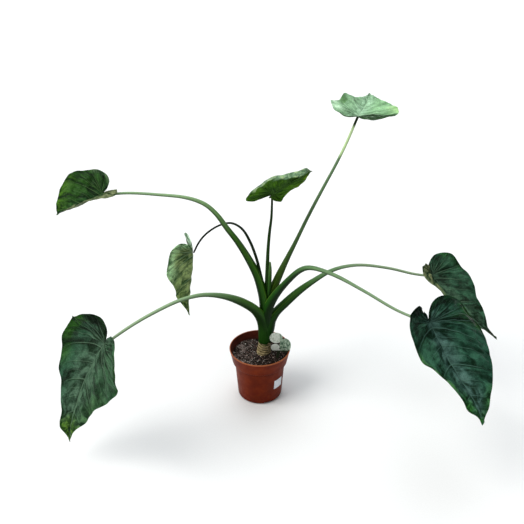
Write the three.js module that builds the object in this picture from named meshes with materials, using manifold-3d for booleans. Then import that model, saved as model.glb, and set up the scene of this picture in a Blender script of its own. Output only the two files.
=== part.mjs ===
// A potted Chinese taro: seven heart-shaped leaves on long stalks, whose sheathing bases wrap
// each other on a short ringed stem, in a round nursery pot with soil, a care tag and a sticker.
// Millimetres, +Z up. The origin is the middle of the pot's foot, and -Y faces the viewer.
import * as THREE from "three";
import { mergeVertices } from "three/addons/utils/BufferGeometryUtils.js";
import Module from "manifold-3d";

const wasm = await Module();
wasm.setup();

// Clearance between pieces that touch
const GAP = 0.3;

// Pot: a thin moulded shell with a wide rim band and slots in the corner of its foot
const POT = {
  height: 126.5,
  rimRadius: 70,
  footRadius: 51,
  wall: 1.7,
  floor: 2.6,
  footCorner: 6,
  bandFoot: 93,
  bandFootRadius: 63,
  bandFootEdge: [1, 1.2],
  wallStep: 1,
  wallTop: 89.5,
  wallTopRadius: 57.5,
  lip: 2.2,
  lipOut: 0.9,
  edge: 0.5,
  bandThickness: 2.3,
  sides: 48,
};
const SLOT = { count: 4, first: 22, width: 20, height: 4.4, depth: 16 };

// Soil: its level, how far its surface rolls and over what lengths, and how rough it is
const SOIL = {
  level: 107,
  roll: 1.6,
  rollLengths: [21, 17],
  crumb: 1.1,
  overStep: 1.8,
  rings: 8,
  sectors: 32,
};

// Stem: leans a little from its foot to the axis that the stalks leave from. Its bark carries
// slanted ring scars, a pitch apart, and thins to a core with a few rings inside the sheaths.
const STEM = {
  foot: [8.6, 8],
  axis: [11, 8],
  bottom: 62,
  barkTop: 141,
  top: 214,
  soilRadius: 16.2,
  barkRadius: 13.4,
  coreRadius: 10.5,
  topRadius: 3,
  scarPitch: 6.5,
  scarHeight: 1.1,
  scarTilt: 2.4,
  scarTurn: 9,
  firstScar: 74,
  coreRings: [143, 170, 195],
  sides: 16,
};

// Half of a leaf's outline, from the bottom of the notch round the lobe to the drip tip,
// as parts of the length from the stalk to the tip: how far out, and how far along
const HALF_OUTLINE = [
  [0, -0.03],
  [0.035, -0.12],
  [0.1, -0.215],
  [0.2, -0.262],
  [0.315, -0.225],
  [0.395, -0.12],
  [0.425, 0.02],
  [0.41, 0.17],
  [0.355, 0.35],
  [0.275, 0.53],
  [0.185, 0.69],
  [0.1, 0.82],
  [0.04, 0.91],
  [0.014, 0.965],
  [0, 1],
];
const HALF_WIDTH = 0.425;

// Blade, in parts of its length unless it says millimetres. Each half has this many side veins.
// A vein starts veinLean of its width behind its end, bends at bend, and the surface swells
// between two veins. The lobes blend in over lobeBlend and tilt over lobeReach behind lobeFrom.
// The margin's waves fade out from waveFull back to waveNone, and its bumps where the half is
// narrower than bumpFull. top and bottom are half the thickness, and ribHeight the midrib's
// depth below, in millimetres.
const BLADE = {
  veins: 9,
  stepsPerVein: 3,
  stepsOut: 4,
  veinLean: 0.7,
  bend: { out: 0.55, along: 0.5, less: 0.22, reach: 0.3 },
  swell: 0.007,
  lobeBlend: 0.1,
  lobeFrom: 0.1,
  lobeReach: 0.3,
  waveNone: -0.1,
  waveFull: 0.2,
  bumpFull: 0.06,
  top: 0.4,
  bottom: 0.4,
  ribHeight: 1.8,
  ribWidth: 0.03,
  ribStart: 0.05,
};

// Stalk: its sections, and the shallow channel in its upper side, which starts and reaches its
// full depth at these parts of the route. The far end moves under the blade past seatFrom.
const STALK = {
  sides: 9,
  stepsPerPoint: 2,
  channel: 0.22,
  channelWidth: 0.6,
  channelStart: 0.25,
  channelFull: 0.5,
  seat: 0.4,
  seatFrom: 0.85,
  lookAhead: 0.01,
};

// Each leaf: its stalk leaves the stem's axis in one upright plane, through points of
// [distance from the axis, height, radius]. Its blade starts where the stalk ends, and heads, pitches
// and rolls from there. Pairs are its left and right halves, seen from above with the tip ahead.
// Each half's margin has two bumps: [place along, reach, outward, upward], in parts of the length.
// The first leaf's sheath is the outermost, and each later one stands inside it.
const LEAVES = [
  {
    name: "front_left",
    azimuth: 217,
    route: [
      [0, 139, 14.2],
      [1, 173, 14.4],
      [6, 198, 13.2],
      [17, 223, 12.2],
      [35, 247, 11.1],
      [68, 277, 9.7],
      [105, 303, 7.3],
      [144, 323, 5.3],
      [181, 335, 4.5],
      [231, 340, 4],
      [294, 334, 3.6],
      [352, 323, 3.2],
      [403, 309, 2.8],
    ],
    length: 272,
    width: [0.87, 0.75],
    lobe: [0.79, 0.81],
    heading: 163,
    pitch: -61,
    roll: -39,
    bend: 3,
    sway: 40,
    twist: -21,
    tipDroop: 6,
    fold: [6, 18],
    curl: [-28, 36],
    lobeTilt: [14, 35],
    wave: [0.029, 0.054],
    phase: [3.05, -0.07],
    waves: 1.25,
    ripple: [0, 0.009],
    ripplePhase: [-0.57, -0.39],
    ripples: 3.1,
    bumps: [
      [[0.37, 0.1, 0, 0], [0.76, 0.1, 0.021, -0.03]],
      [[0.45, 0.08, -0.003, 0.015], [0.9, 0.1, 0.023, 0.035]],
    ],
  },
  {
    name: "right",
    azimuth: 12,
    route: [
      [2, 142, 14],
      [8, 172, 14.6],
      [14, 196, 13],
      [28, 217, 10],
      [48, 237, 9.5],
      [81, 267, 8.3],
      [118, 292, 6.1],
      [150, 309, 4.8],
      [186, 317, 4.1],
      [229, 315, 3.6],
      [286, 300, 3.3],
      [345, 279, 3.1],
      [395, 267, 2.8],
    ],
    length: 216,
    width: [0.78, 0.7],
    lobe: [0.73, 0.2],
    heading: -61,
    pitch: -19,
    roll: -14,
    bend: -6,
    sway: 29,
    twist: 11,
    tipDroop: 12,
    fold: [30, 32],
    curl: [3, -9],
    lobeTilt: [11, 15],
    wave: [0.043, 0.059],
    phase: [-2.02, 3.2],
    waves: 2.23,
    ripple: [0.016, 0.095],
    ripplePhase: [-0.46, -0.13],
    ripples: 2.5,
    bumps: [
      [[0.4, 0.09, 0.021, -0.005], [0.85, 0.06, -0.004, -0.028]],
      [[0.43, 0.09, 0.015, -0.004], [0.87, 0.08, -0.014, 0.012]],
    ],
  },
  {
    name: "front_right",
    azimuth: -30,
    route: [
      [0, 150, 12.6],
      [2, 193, 13.2],
      [6, 224, 12.9],
      [16, 253, 11.2],
      [34, 287, 9.3],
      [59, 324, 7.6],
      [83, 354, 6.8],
      [106, 370, 5.6],
      [137, 374, 4.7],
      [182, 369, 4.1],
      [239, 354, 3.4],
      [313, 333, 3],
      [388, 326, 2.8],
    ],
    length: 241,
    width: [1.25, 0.91],
    lobe: [0.9, 0.31],
    heading: -69,
    pitch: -29,
    roll: -16,
    bend: -20,
    sway: -2,
    twist: 11,
    tipDroop: 43,
    fold: [21, 14],
    curl: [-37, 13],
    lobeTilt: [-3, 22],
    wave: [0.004, 0.07],
    phase: [0.77, 1.8],
    waves: 1.37,
    ripple: [0.007, 0.035],
    ripplePhase: [-1.03, -1.46],
    ripples: 2.9,
    bumps: [
      [[0.35, 0.09, -0.003, 0.007], [0.89, 0.08, 0.013, 0.001]],
      [[0.39, 0.09, 0.012, -0.015], [0.86, 0.06, 0.032, -0.03]],
    ],
  },
  {
    name: "upper_left",
    azimuth: 170,
    route: [
      [0, 158, 11.4],
      [0, 209, 11.8],
      [1, 247, 11.5],
      [7, 281, 10.7],
      [18, 318, 9.6],
      [37, 358, 8.2],
      [59, 396, 7.1],
      [83, 429, 6.3],
      [106, 462, 5.4],
      [134, 485, 4.8],
      [176, 496, 4],
      [237, 497, 3.4],
      [304, 496, 3.1],
      [359, 488, 2.6],
    ],
    length: 151,
    width: [0.73, 1.25],
    lobe: [0.39, 1.26],
    heading: 234,
    pitch: 0,
    roll: -6,
    bend: -13,
    sway: 17,
    twist: 30,
    tipDroop: -4,
    fold: [27, 33],
    curl: [-19, -13],
    lobeTilt: [8, -7],
    wave: [0.038, 0.022],
    phase: [2.75, -1.1],
    waves: 1.6,
    ripple: [0.018, 0.025],
    ripplePhase: [0.61, -0.44],
    ripples: 2.9,
    bumps: [
      [[0.13, 0.1, 0.001, 0.004], [0.69, 0.08, 0.003, -0.002]],
      [[-0.07, 0.1, -0.014, -0.02], [0.68, 0.07, -0.01, -0.009]],
    ],
  },
  {
    name: "upper_right",
    azimuth: 20,
    route: [
      [0, 168, 9.4],
      [2, 219, 10],
      [9, 247, 9.9],
      [20, 277, 9.4],
      [35, 313, 8.2],
      [53, 351, 6],
      [74, 393, 4.5],
      [96, 439, 3.9],
      [119, 484, 3.7],
      [141, 525, 3.4],
      [162, 564, 3.2],
      [184, 610, 3],
      [207, 666, 2.7],
    ],
    length: 170,
    width: [0.87, 1.15],
    lobe: [0.99, 1.04],
    heading: 74,
    pitch: -9,
    roll: 13,
    bend: -6,
    sway: 10,
    twist: -3,
    tipDroop: -3,
    fold: [7, 21],
    curl: [7, 1],
    lobeTilt: [-2, 1],
    wave: [0.029, 0.015],
    phase: [-2.84, -1.21],
    waves: 1.43,
    ripple: [0.061, 0.001],
    ripplePhase: [0.6, 1.37],
    ripples: 2.5,
    bumps: [
      [[0.47, 0.1, 0.02, 0.036], [0.84, 0.11, -0.007, -0.017]],
      [[0.38, 0.09, -0.002, 0], [0.72, 0.1, -0.011, -0.002]],
    ],
  },
  {
    name: "back_left",
    azimuth: 147,
    route: [
      [0, 178, 6],
      [1, 252, 5.6],
      [5, 285, 4.5],
      [12, 319, 3.7],
      [22, 355, 3.3],
      [38, 391, 3.2],
      [59, 417, 2.8],
      [88, 423, 2.5],
      [121, 407, 2.4],
      [155, 377, 2.4],
      [181, 343, 2.3],
      [198, 313, 2.1],
    ],
    length: 167,
    width: [1.05, 0.7],
    lobe: [0.75, 0.84],
    heading: 164,
    pitch: -86,
    roll: 3,
    bend: -2,
    sway: 27,
    twist: 3,
    tipDroop: 31,
    fold: [36, 36],
    curl: [-18, -19],
    lobeTilt: [3, 21],
    wave: [0.029, 0.028],
    phase: [-1.17, 0.91],
    waves: 1.68,
    ripple: [0.038, 0.003],
    ripplePhase: [-0.42, -2.15],
    ripples: 1.7,
    bumps: [
      [[0.19, 0.07, -0.011, 0.005], [0.7, 0.07, -0.005, 0.038]],
      [[0.11, 0.09, -0.011, -0.02], [0.68, 0.08, -0.001, 0]],
    ],
  },
  {
    name: "top",
    azimuth: 60,
    route: [
      [0, 188, 5.4],
      [7, 248, 5.5],
      [10, 294, 5],
      [12, 340, 4.2],
      [15, 380, 3.7],
      [21, 418, 3.3],
      [29, 453, 2.8],
      [31, 504, 2.3],
    ],
    length: 125,
    width: [1.05, 0.84],
    lobe: [1.46, 0.35],
    heading: 38,
    pitch: 13,
    roll: 3,
    bend: 6,
    sway: 15,
    twist: 5,
    tipDroop: 29,
    fold: [10, 20],
    curl: [-31, 6],
    lobeTilt: [-6, -15],
    wave: [0.029, 0.043],
    phase: [-0.83, 0.23],
    waves: 1.36,
    ripple: [0.022, 0.01],
    ripplePhase: [1.84, -0.34],
    ripples: 2.2,
    bumps: [
      [[0.4, 0.09, -0.001, 0.004], [0.92, 0.1, 0.017, 0.054]],
      [[0.4, 0.09, -0.005, -0.001], [0.81, 0.08, -0.006, 0.002]],
    ],
  },
];

// Spear: the rolled tip of the next leaf, beside the topmost stalk
const SPEAR = {
  azimuth: -10,
  route: [
    [0, 200, 4.2],
    [9, 264, 4.2],
    [11, 301, 4.2],
    [12, 330, 3.9],
    [12, 353, 1.8],
  ],
};

// Care tag: three joined round lobes and a stake, in an upright plane. Lobes are [x, z, radii].
const TAG = {
  y: -16,
  thickness: 0.9,
  lobes: [
    [37, 165, 14.6, 14.6],
    [35, 138, 9.7, 9.7],
    [58, 143, 13, 20],
  ],
  stakeTop: [45, 132],
  stakeFoot: [31, 72],
  stakeWidth: [7, 4],
  sides: 28,
};

// Sticker: a plain patch on the pot's wall
const STICKER = { azimuth: -40, width: 25, bottom: 39, top: 63, thickness: 0.5, steps: 6 };

const radians = THREE.MathUtils.degToRad;

// Booleans

function toSolid(geometry) {
  const bare = geometry.clone();
  bare.deleteAttribute("normal");
  bare.deleteAttribute("uv");
  const merged = mergeVertices(bare, 1e-4);
  return new wasm.Manifold(
    new wasm.Mesh({
      numProp: 3,
      vertProperties: merged.attributes.position.array,
      triVerts: new Uint32Array(merged.index.array),
    }),
  );
}

function toGeometry(solid) {
  const data = solid.getMesh();
  const geometry = new THREE.BufferGeometry();
  geometry.setAttribute("position", new THREE.BufferAttribute(data.vertProperties, 3));
  geometry.setIndex(new THREE.BufferAttribute(data.triVerts, 1));
  geometry.computeVertexNormals();
  return geometry;
}

function largestBody(solid) {
  const bodies = solid.decompose();
  bodies.sort((a, b) => b.volume() - a.volume());
  return bodies[0];
}

function piece(name, geometry, finish) {
  const mesh = new THREE.Mesh(geometry, new THREE.MeshStandardMaterial(finish));
  mesh.name = name;
  return mesh;
}

// A closed geometry from its corners, [x, y, z] each, and its triangles
function fromTriangles(points, triangles) {
  const geometry = new THREE.BufferGeometry();
  geometry.setAttribute("position", new THREE.Float32BufferAttribute(points.flat(), 3));
  geometry.setIndex(triangles.flat());
  return geometry;
}

// A smooth curve through points of two or three values
function curveThrough(points) {
  const vectors = points.map(([a, b, c = 0]) => new THREE.Vector3(a, b, c));
  return new THREE.CatmullRomCurve3(vectors, false, "catmullrom", 0.5);
}

// Rings of equal length, joined in turn and closed by a fan at each end
function skin(rings) {
  const sides = rings[0].length;
  const points = rings.flat();
  const triangles = [];
  for (let k = 0; k + 1 < rings.length; k++) {
    for (let i = 0; i < sides; i++) {
      const a = k * sides + i;
      const b = k * sides + ((i + 1) % sides);
      triangles.push([a, b, b + sides], [a, b + sides, a + sides]);
    }
  }
  const ends = [rings[0], rings[rings.length - 1]];
  ends.forEach((ring, end) => {
    const centre = points.length;
    const sum = ring.reduce((s, p) => [s[0] + p[0], s[1] + p[1], s[2] + p[2]], [0, 0, 0]);
    points.push(sum.map((v) => v / sides));
    const start = end ? (rings.length - 1) * sides : 0;
    for (let i = 0; i < sides; i++) {
      const a = start + i;
      const b = start + ((i + 1) % sides);
      triangles.push(end ? [a, b, centre] : [b, a, centre]);
    }
  });
  return fromTriangles(points, triangles);
}

// Leaf blade

// The frame of a blade where its stalk meets it: along the midrib, to the left and up
function bladeFrame(leaf) {
  const heading = radians(leaf.heading);
  const pitch = radians(leaf.pitch);
  const along = new THREE.Vector3(
    Math.cos(pitch) * Math.cos(heading),
    Math.cos(pitch) * Math.sin(heading),
    Math.sin(pitch),
  );
  const up = new THREE.Vector3(
    -Math.sin(pitch) * Math.cos(heading),
    -Math.sin(pitch) * Math.sin(heading),
    Math.cos(pitch),
  );
  const left = up.clone().cross(along);
  const turn = radians(leaf.roll);
  const left2 = left.clone().multiplyScalar(Math.cos(turn)).addScaledVector(up, Math.sin(turn));
  const up2 = up.clone().multiplyScalar(Math.cos(turn)).addScaledVector(left, -Math.sin(turn));
  return { along, left: left2, up: up2 };
}

// The midrib in the blade's own frame, in parts of the blade's length: it bends down, sways
// sideways and twists as it runs. Each entry holds a place, a way to the left and a way up.
const RIB_START = -0.5;
const RIB_END = 1.05;
const RIB_STEP = 0.01;
const DROOP_FROM = 0.6;

function ribAngles(leaf, v) {
  const past = Math.max(v, 0);
  const nearTip = Math.max((v - DROOP_FROM) / (1 - DROOP_FROM), 0);
  return {
    down: -radians(leaf.bend) * v - radians(leaf.tipDroop) * nearTip ** 2,
    side: radians(leaf.sway) * past ** 2,
    twist: radians(leaf.twist) * past,
  };
}

function ribHeading({ down, side }) {
  return new THREE.Vector3(
    Math.cos(down) * Math.cos(side),
    Math.cos(down) * Math.sin(side),
    Math.sin(down),
  );
}

function makeRib(leaf) {
  const count = Math.round((RIB_END - RIB_START) / RIB_STEP) + 1;
  const entries = [];
  const place = new THREE.Vector3();
  for (let k = 0; k < count; k++) {
    const v = RIB_START + k * RIB_STEP;
    const angles = ribAngles(leaf, v);
    const ahead = ribHeading(angles);
    if (k > 0) {
      const before = ribHeading(ribAngles(leaf, v - RIB_STEP));
      place.addScaledVector(before.add(ahead), RIB_STEP / 2);
    }
    const up = new THREE.Vector3(
      -Math.sin(angles.down) * Math.cos(angles.side),
      -Math.sin(angles.down) * Math.sin(angles.side),
      Math.cos(angles.down),
    );
    const left = up.clone().cross(ahead);
    const c = Math.cos(angles.twist);
    const s = Math.sin(angles.twist);
    entries.push({
      place: place.clone(),
      left: left.clone().multiplyScalar(c).addScaledVector(up, s),
      up: up.clone().multiplyScalar(c).addScaledVector(left, -s),
    });
  }
  const origin = entries[Math.round(-RIB_START / RIB_STEP)].place.clone();
  entries.forEach((entry) => entry.place.sub(origin));
  return entries;
}

function ribAt(rib, v) {
  const x = THREE.MathUtils.clamp((v - RIB_START) / RIB_STEP, 0, rib.length - 1.001);
  const k = Math.floor(x);
  const mix = (key) => rib[k][key].clone().lerp(rib[k + 1][key], x - k);
  return { place: mix("place"), left: mix("left"), up: mix("up") };
}

// A point of the blade's middle surface. side is 0 on the left and 1 on the right, out and
// along are parts of the length, t runs from 0 at a vein's start to 1 at the margin, and swell
// is the height between two veins. The margin runs in and out in ripples, up and down in waves,
// which leave the lobes flat, and both ways in the leaf's own bumps.
function bladePoint(leaf, rib, frame, start, side, { out, along, t, swell }) {
  const edge = out / HALF_WIDTH;
  const rippling = Math.sin(2 * Math.PI * leaf.ripples * along + leaf.ripplePhase[side]);
  let across = out * leaf.width[side] * (1 + leaf.ripple[side] * edge ** 2 * rippling);
  let lift = swell;
  const narrow = t ** 2 * THREE.MathUtils.smoothstep(out, 0, BLADE.bumpFull);
  for (const [place, reach, outward, upward] of leaf.bumps[side]) {
    const bump = narrow * Math.exp(-(((along - place) / reach) ** 2));
    across += bump * outward;
    lift += bump * upward;
  }
  const blend = THREE.MathUtils.smoothstep(out, 0, BLADE.lobeBlend);
  const v = along < 0 ? along * THREE.MathUtils.lerp(1, leaf.lobe[side], blend) : along;
  const at = ribAt(rib, v);
  const inLobe = THREE.MathUtils.smoothstep(BLADE.lobeFrom - along, 0, BLADE.lobeReach);
  const tilt =
    radians(leaf.fold[side]) +
    (radians(leaf.curl[side]) * across) / (2 * HALF_WIDTH) +
    radians(leaf.lobeTilt[side]) * inLobe;
  const wave =
    leaf.wave[side] *
    THREE.MathUtils.smoothstep(along, BLADE.waveNone, BLADE.waveFull) *
    (across / HALF_WIDTH) ** 2 *
    Math.sin(2 * Math.PI * leaf.waves * v + leaf.phase[side]);
  const sideways = across * Math.cos(tilt) * (side ? -1 : 1);
  const height = across * Math.sin(tilt) + wave + lift;
  const local = at.place.addScaledVector(at.left, sideways).addScaledVector(at.up, height);
  return start
    .clone()
    .addScaledVector(frame.along, local.x * leaf.length)
    .addScaledVector(frame.left, local.y * leaf.length)
    .addScaledVector(frame.up, local.z * leaf.length);
}

// The blade's middle surface as triangles, with each half laid out along its veins: a vein
// leaves the midrib, or the stalk's end for the lobes, and runs out to the margin. Each corner
// keeps how far below the surface the underside lies.
function bladeSurface(leaf, start) {
  const midrib = makeRib(leaf);
  const frame = bladeFrame(leaf);
  const outline = curveThrough(HALF_OUTLINE);
  const rows = BLADE.veins * BLADE.stepsPerVein;
  const columns = BLADE.stepsOut;
  const points = [];
  const depths = [];
  const grid = [0, 1].map((side) => {
    const lines = [];
    for (let i = 0; i <= rows; i++) {
      const edge = outline.getPoint(i / rows);
      const root = Math.max(0, edge.y - BLADE.veinLean * edge.x);
      const rise = edge.y - root;
      const less = BLADE.bend.less * THREE.MathUtils.smoothstep(rise, 0, BLADE.bend.reach);
      const middle = [BLADE.bend.out * edge.x, root + (BLADE.bend.along - less) * rise];
      const between = 0.5 - 0.5 * Math.cos((2 * Math.PI * i) / BLADE.stepsPerVein);
      const line = [];
      for (let j = 0; j <= columns; j++) {
        const t = j / columns;
        const out = 2 * t * (1 - t) * middle[0] + t * t * edge.x;
        const along = (1 - t) ** 2 * root + 2 * t * (1 - t) * middle[1] + t * t * edge.y;
        const swell = BLADE.swell * between * Math.sin(Math.PI * t);
        const p = bladePoint(leaf, midrib, frame, start, side, { out, along, t, swell });
        const rib = THREE.MathUtils.smoothstep(along, 0, BLADE.ribStart) * (1 - along);
        const nearRib = Math.exp(-((out / BLADE.ribWidth) ** 2));
        line.push(points.length);
        points.push([p.x, p.y, p.z]);
        depths.push(BLADE.bottom + BLADE.ribHeight * rib * nearRib);
      }
      lines.push(line);
    }
    return lines;
  });
  const triangles = [];
  grid.forEach((lines, side) => {
    for (let i = 0; i < rows; i++) {
      for (let j = 0; j < columns; j++) {
        const [a, b] = [lines[i][j], lines[i + 1][j]];
        const [c, d] = [lines[i + 1][j + 1], lines[i][j + 1]];
        const quad = [[a, b, c], [a, c, d]];
        triangles.push(...(side ? quad.map(([p, q, r]) => [p, r, q]) : quad));
      }
    }
  });
  return weld(points, depths, triangles);
}

// Joins corners that lie in one place, and drops the triangles that this closes up
function weld(points, depths, triangles) {
  const places = new Map();
  const keptPoints = [];
  const keptDepths = [];
  const index = points.map((p, k) => {
    const key = p.map((v) => Math.round(v * 1e4)).join();
    if (!places.has(key)) {
      places.set(key, keptPoints.length);
      keptPoints.push(p);
      keptDepths.push(depths[k]);
    }
    return places.get(key);
  });
  const kept = triangles
    .map((t) => t.map((k) => index[k]))
    .filter(([a, b, c]) => a !== b && b !== c && c !== a);
  return { points: keptPoints, depths: keptDepths, triangles: kept };
}

// Gives a surface its thickness: the same triangles above and below, and a wall round the margin
function thicken({ points, depths, triangles }) {
  const sheet = fromTriangles(points, triangles);
  sheet.computeVertexNormals();
  const normals = sheet.attributes.normal;
  const shift = (k, distance) => {
    const n = [normals.getX(k), normals.getY(k), normals.getZ(k)];
    return points[k].map((v, axis) => v + n[axis] * distance);
  };
  const count = points.length;
  const top = points.map((_, k) => shift(k, BLADE.top));
  const bottom = points.map((_, k) => shift(k, -depths[k]));
  const faces = [];
  const edges = new Map();
  triangles.forEach(([a, b, c]) => {
    faces.push([a, b, c], [a + count, c + count, b + count]);
    [[a, b], [b, c], [c, a]].forEach(([p, q]) => edges.set(p + "," + q, [p, q]));
  });
  edges.forEach(([p, q]) => {
    if (!edges.has(q + "," + p)) {
      faces.push([q, p, p + count], [q, p + count, q + count]);
    }
  });
  return fromTriangles([...top, ...bottom], faces);
}

// Stalk

// A stalk along its route. grow widens it all round, for cutting its seat in a neighbour, and
// seat is how far its far end is moved and which way, so that it meets its blade from below.
function stalk(route, azimuth, grow, seat) {
  const curve = curveThrough(route);
  const steps = (route.length - 1) * STALK.stepsPerPoint;
  const turn = radians(azimuth);
  const across = new THREE.Vector3(-Math.sin(turn), Math.cos(turn), 0);
  const centre = (t) => {
    const p = curve.getPoint(t);
    const place = new THREE.Vector3(
      STEM.axis[0] + p.x * Math.cos(turn),
      STEM.axis[1] + p.x * Math.sin(turn),
      p.y,
    );
    return place.addScaledVector(seat, THREE.MathUtils.smoothstep(t, STALK.seatFrom, 1));
  };
  const rings = [];
  for (let k = 0; k <= steps; k++) {
    const t = k / steps;
    const before = centre(Math.max(t - STALK.lookAhead, 0));
    const ahead = centre(Math.min(t + STALK.lookAhead, 1)).sub(before).normalize();
    const upper = ahead.clone().cross(across).normalize();
    const end = k === 0 ? -grow : k === steps ? grow : 0;
    const middle = centre(t).addScaledVector(ahead, end);
    const radius = curve.getPoint(t).z + grow;
    const ring = [];
    for (let i = 0; i < STALK.sides; i++) {
      const angle = (2 * Math.PI * i) / STALK.sides;
      const fromTop = angle - Math.PI;
      const dip = grow > 0 ? 0 : STALK.channel * Math.exp(-((fromTop / STALK.channelWidth) ** 2));
      const depth = THREE.MathUtils.smoothstep(t, STALK.channelStart, STALK.channelFull);
      const r = radius * (1 - dip * depth);
      const p = middle
        .clone()
        .addScaledVector(upper, -r * Math.cos(angle))
        .addScaledVector(across, r * Math.sin(angle));
      ring.push([p.x, p.y, p.z]);
    }
    rings.push(ring);
  }
  return skin(rings);
}

// How far a stalk's end stands off from where its blade starts, so that it clears the underside:
// the end is a disc across the stalk, and reaches the least way up where it faces the blade
function seatUnder(leaf) {
  const points = leaf.route.slice(-2);
  const [run, rise] = [points[1][0] - points[0][0], points[1][1] - points[0][1]];
  const turn = radians(leaf.azimuth);
  const ahead = new THREE.Vector3(run * Math.cos(turn), run * Math.sin(turn), rise).normalize();
  const up = bladeFrame(leaf).up;
  const facing = ahead.dot(up);
  const disc = points[1][2] * Math.sqrt(1 - facing ** 2);
  return up.multiplyScalar(-(BLADE.bottom + STALK.seat + disc));
}

// The point where a leaf's stalk ends and its blade starts
function bladeStart(leaf) {
  const [reach, height] = leaf.route[leaf.route.length - 1];
  const turn = radians(leaf.azimuth);
  return new THREE.Vector3(
    STEM.axis[0] + reach * Math.cos(turn),
    STEM.axis[1] + reach * Math.sin(turn),
    height,
  );
}

// Stem: bark with the ring scars of old leaves above the soil, and a core inside the sheaths
function stem(grow) {
  const heights = [STEM.bottom - grow];
  for (let z = STEM.firstScar; z < STEM.barkTop; z += STEM.scarPitch / 2) {
    heights.push(z);
  }
  heights.push(STEM.barkTop, ...STEM.coreRings, STEM.top + grow);
  const rings = heights.map((z) => {
    const rise = THREE.MathUtils.clamp((z - SOIL.level) / (STEM.barkTop - SOIL.level), 0, 1);
    const inSheaths = THREE.MathUtils.clamp((z - STEM.barkTop) / (STEM.top - STEM.barkTop), 0, 1);
    const bark = THREE.MathUtils.lerp(STEM.soilRadius, STEM.barkRadius, rise);
    const core = THREE.MathUtils.lerp(STEM.coreRadius, STEM.topRadius, inSheaths);
    const radius = z > STEM.barkTop ? core : bark;
    const ring = [];
    for (let i = 0; i < STEM.sides; i++) {
      const angle = (2 * Math.PI * i) / STEM.sides;
      const level = (z + STEM.scarTilt * Math.cos(angle + z / STEM.scarTurn)) / STEM.scarPitch;
      const scar = z > STEM.barkTop ? 0 : STEM.scarHeight * (0.5 - (level - Math.floor(level)));
      const r = radius + grow + (grow > 0 ? STEM.scarHeight / 2 : scar);
      ring.push([
        THREE.MathUtils.lerp(STEM.foot[0], STEM.axis[0], rise) + r * Math.cos(angle),
        THREE.MathUtils.lerp(STEM.foot[1], STEM.axis[1], rise) + r * Math.sin(angle),
        z,
      ]);
    }
    return ring;
  });
  return skin(rings);
}

// Pot

function potInnerRadius(z) {
  if (z > POT.bandFoot) {
    const rise = (z - POT.bandFoot) / (POT.height - POT.bandFoot);
    const inner = POT.rimRadius - POT.bandThickness;
    return THREE.MathUtils.lerp(POT.bandFootRadius - POT.wall, inner, rise);
  }
  const rise = Math.min(z / POT.wallTop, 1);
  return THREE.MathUtils.lerp(POT.footRadius, POT.wallTopRadius, rise) - POT.wall;
}

function pot() {
  const corner = [];
  for (let k = 0; k <= 3; k++) {
    const angle = (k / 3) * (Math.PI / 2);
    corner.push([
      POT.footRadius - POT.footCorner * (1 - Math.sin(angle)),
      POT.footCorner * (1 - Math.cos(angle)),
    ]);
  }
  const profile = [
    [0, 0],
    ...corner,
    [POT.wallTopRadius, POT.wallTop],
    [POT.bandFootRadius - POT.bandFootEdge[0], POT.bandFoot - POT.bandFootEdge[1]],
    [POT.bandFootRadius, POT.bandFoot],
    [POT.rimRadius - POT.lipOut, POT.height - POT.lip - POT.lipOut],
    [POT.rimRadius, POT.height - POT.lip],
    [POT.rimRadius, POT.height - POT.edge],
    [POT.rimRadius - POT.edge, POT.height],
    [POT.rimRadius - POT.bandThickness, POT.height],
    [potInnerRadius(POT.bandFoot + POT.wallStep), POT.bandFoot + POT.wallStep],
    [potInnerRadius(POT.wallTop), POT.wallTop + POT.wallStep],
    [potInnerRadius(POT.footCorner), POT.footCorner],
    [potInnerRadius(0) - POT.footCorner / 2, POT.floor],
    [0, POT.floor],
  ];
  const outline = profile.map(([r, z]) => new THREE.Vector2(r, z));
  const shell = new THREE.LatheGeometry(outline, POT.sides).rotateX(Math.PI / 2);
  let solid = toSolid(shell);
  for (let k = 0; k < SLOT.count; k++) {
    const angle = radians(SLOT.first - 90) + (k * 2 * Math.PI) / SLOT.count;
    const cutter = new THREE.BoxGeometry(SLOT.depth, SLOT.width, SLOT.height)
      .translate(POT.footRadius, 0, SLOT.height / 2 - 0.01)
      .rotateZ(angle);
    solid = solid.subtract(toSolid(cutter));
  }
  return solid;
}

// Soil: fills the pot to its level, with a rolling, crumbly top and plain holes for what stands in it

// Always the same sequence, from 0 to 1
function seeded(seed) {
  let state = seed;
  return () => {
    state = (state * 1664525 + 1013904223) % 4294967296;
    return state / 4294967296;
  };
}

function soil(holes) {
  const random = seeded(7);
  const ringAt = (radius, height) => {
    const ring = [];
    for (let i = 0; i < SOIL.sectors; i++) {
      const angle = (2 * Math.PI * i) / SOIL.sectors;
      const x = radius * Math.cos(angle);
      const y = radius * Math.sin(angle);
      ring.push([x, y, height(x, y)]);
    }
    return ring;
  };
  const clear = (radius) => radius * Math.cos(Math.PI / POT.sides) - GAP;
  const lowest = SOIL.level - SOIL.roll - SOIL.crumb;
  const sides = [
    [potInnerRadius(0) - POT.footCorner / 2, POT.floor + GAP],
    [potInnerRadius(POT.footCorner), POT.footCorner],
    [potInnerRadius(POT.wallTop), POT.wallTop + SOIL.overStep],
    [potInnerRadius(POT.bandFoot + POT.wallStep), POT.bandFoot + SOIL.overStep],
    [potInnerRadius(lowest - 1), lowest - 1],
  ];
  const surface = (x, y) =>
    SOIL.level +
    SOIL.roll * Math.sin(x / SOIL.rollLengths[0] + 1) * Math.cos(y / SOIL.rollLengths[1]) +
    SOIL.crumb * (random() - 0.5) * 2;
  const rings = sides.map(([radius, z]) => ringAt(clear(radius), () => z));
  for (let k = SOIL.rings; k >= 1; k--) {
    rings.push(ringAt((clear(potInnerRadius(lowest)) * k) / SOIL.rings, surface));
  }
  return holes.reduce((body, hole) => body.subtract(hole), toSolid(skin(rings)));
}

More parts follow.
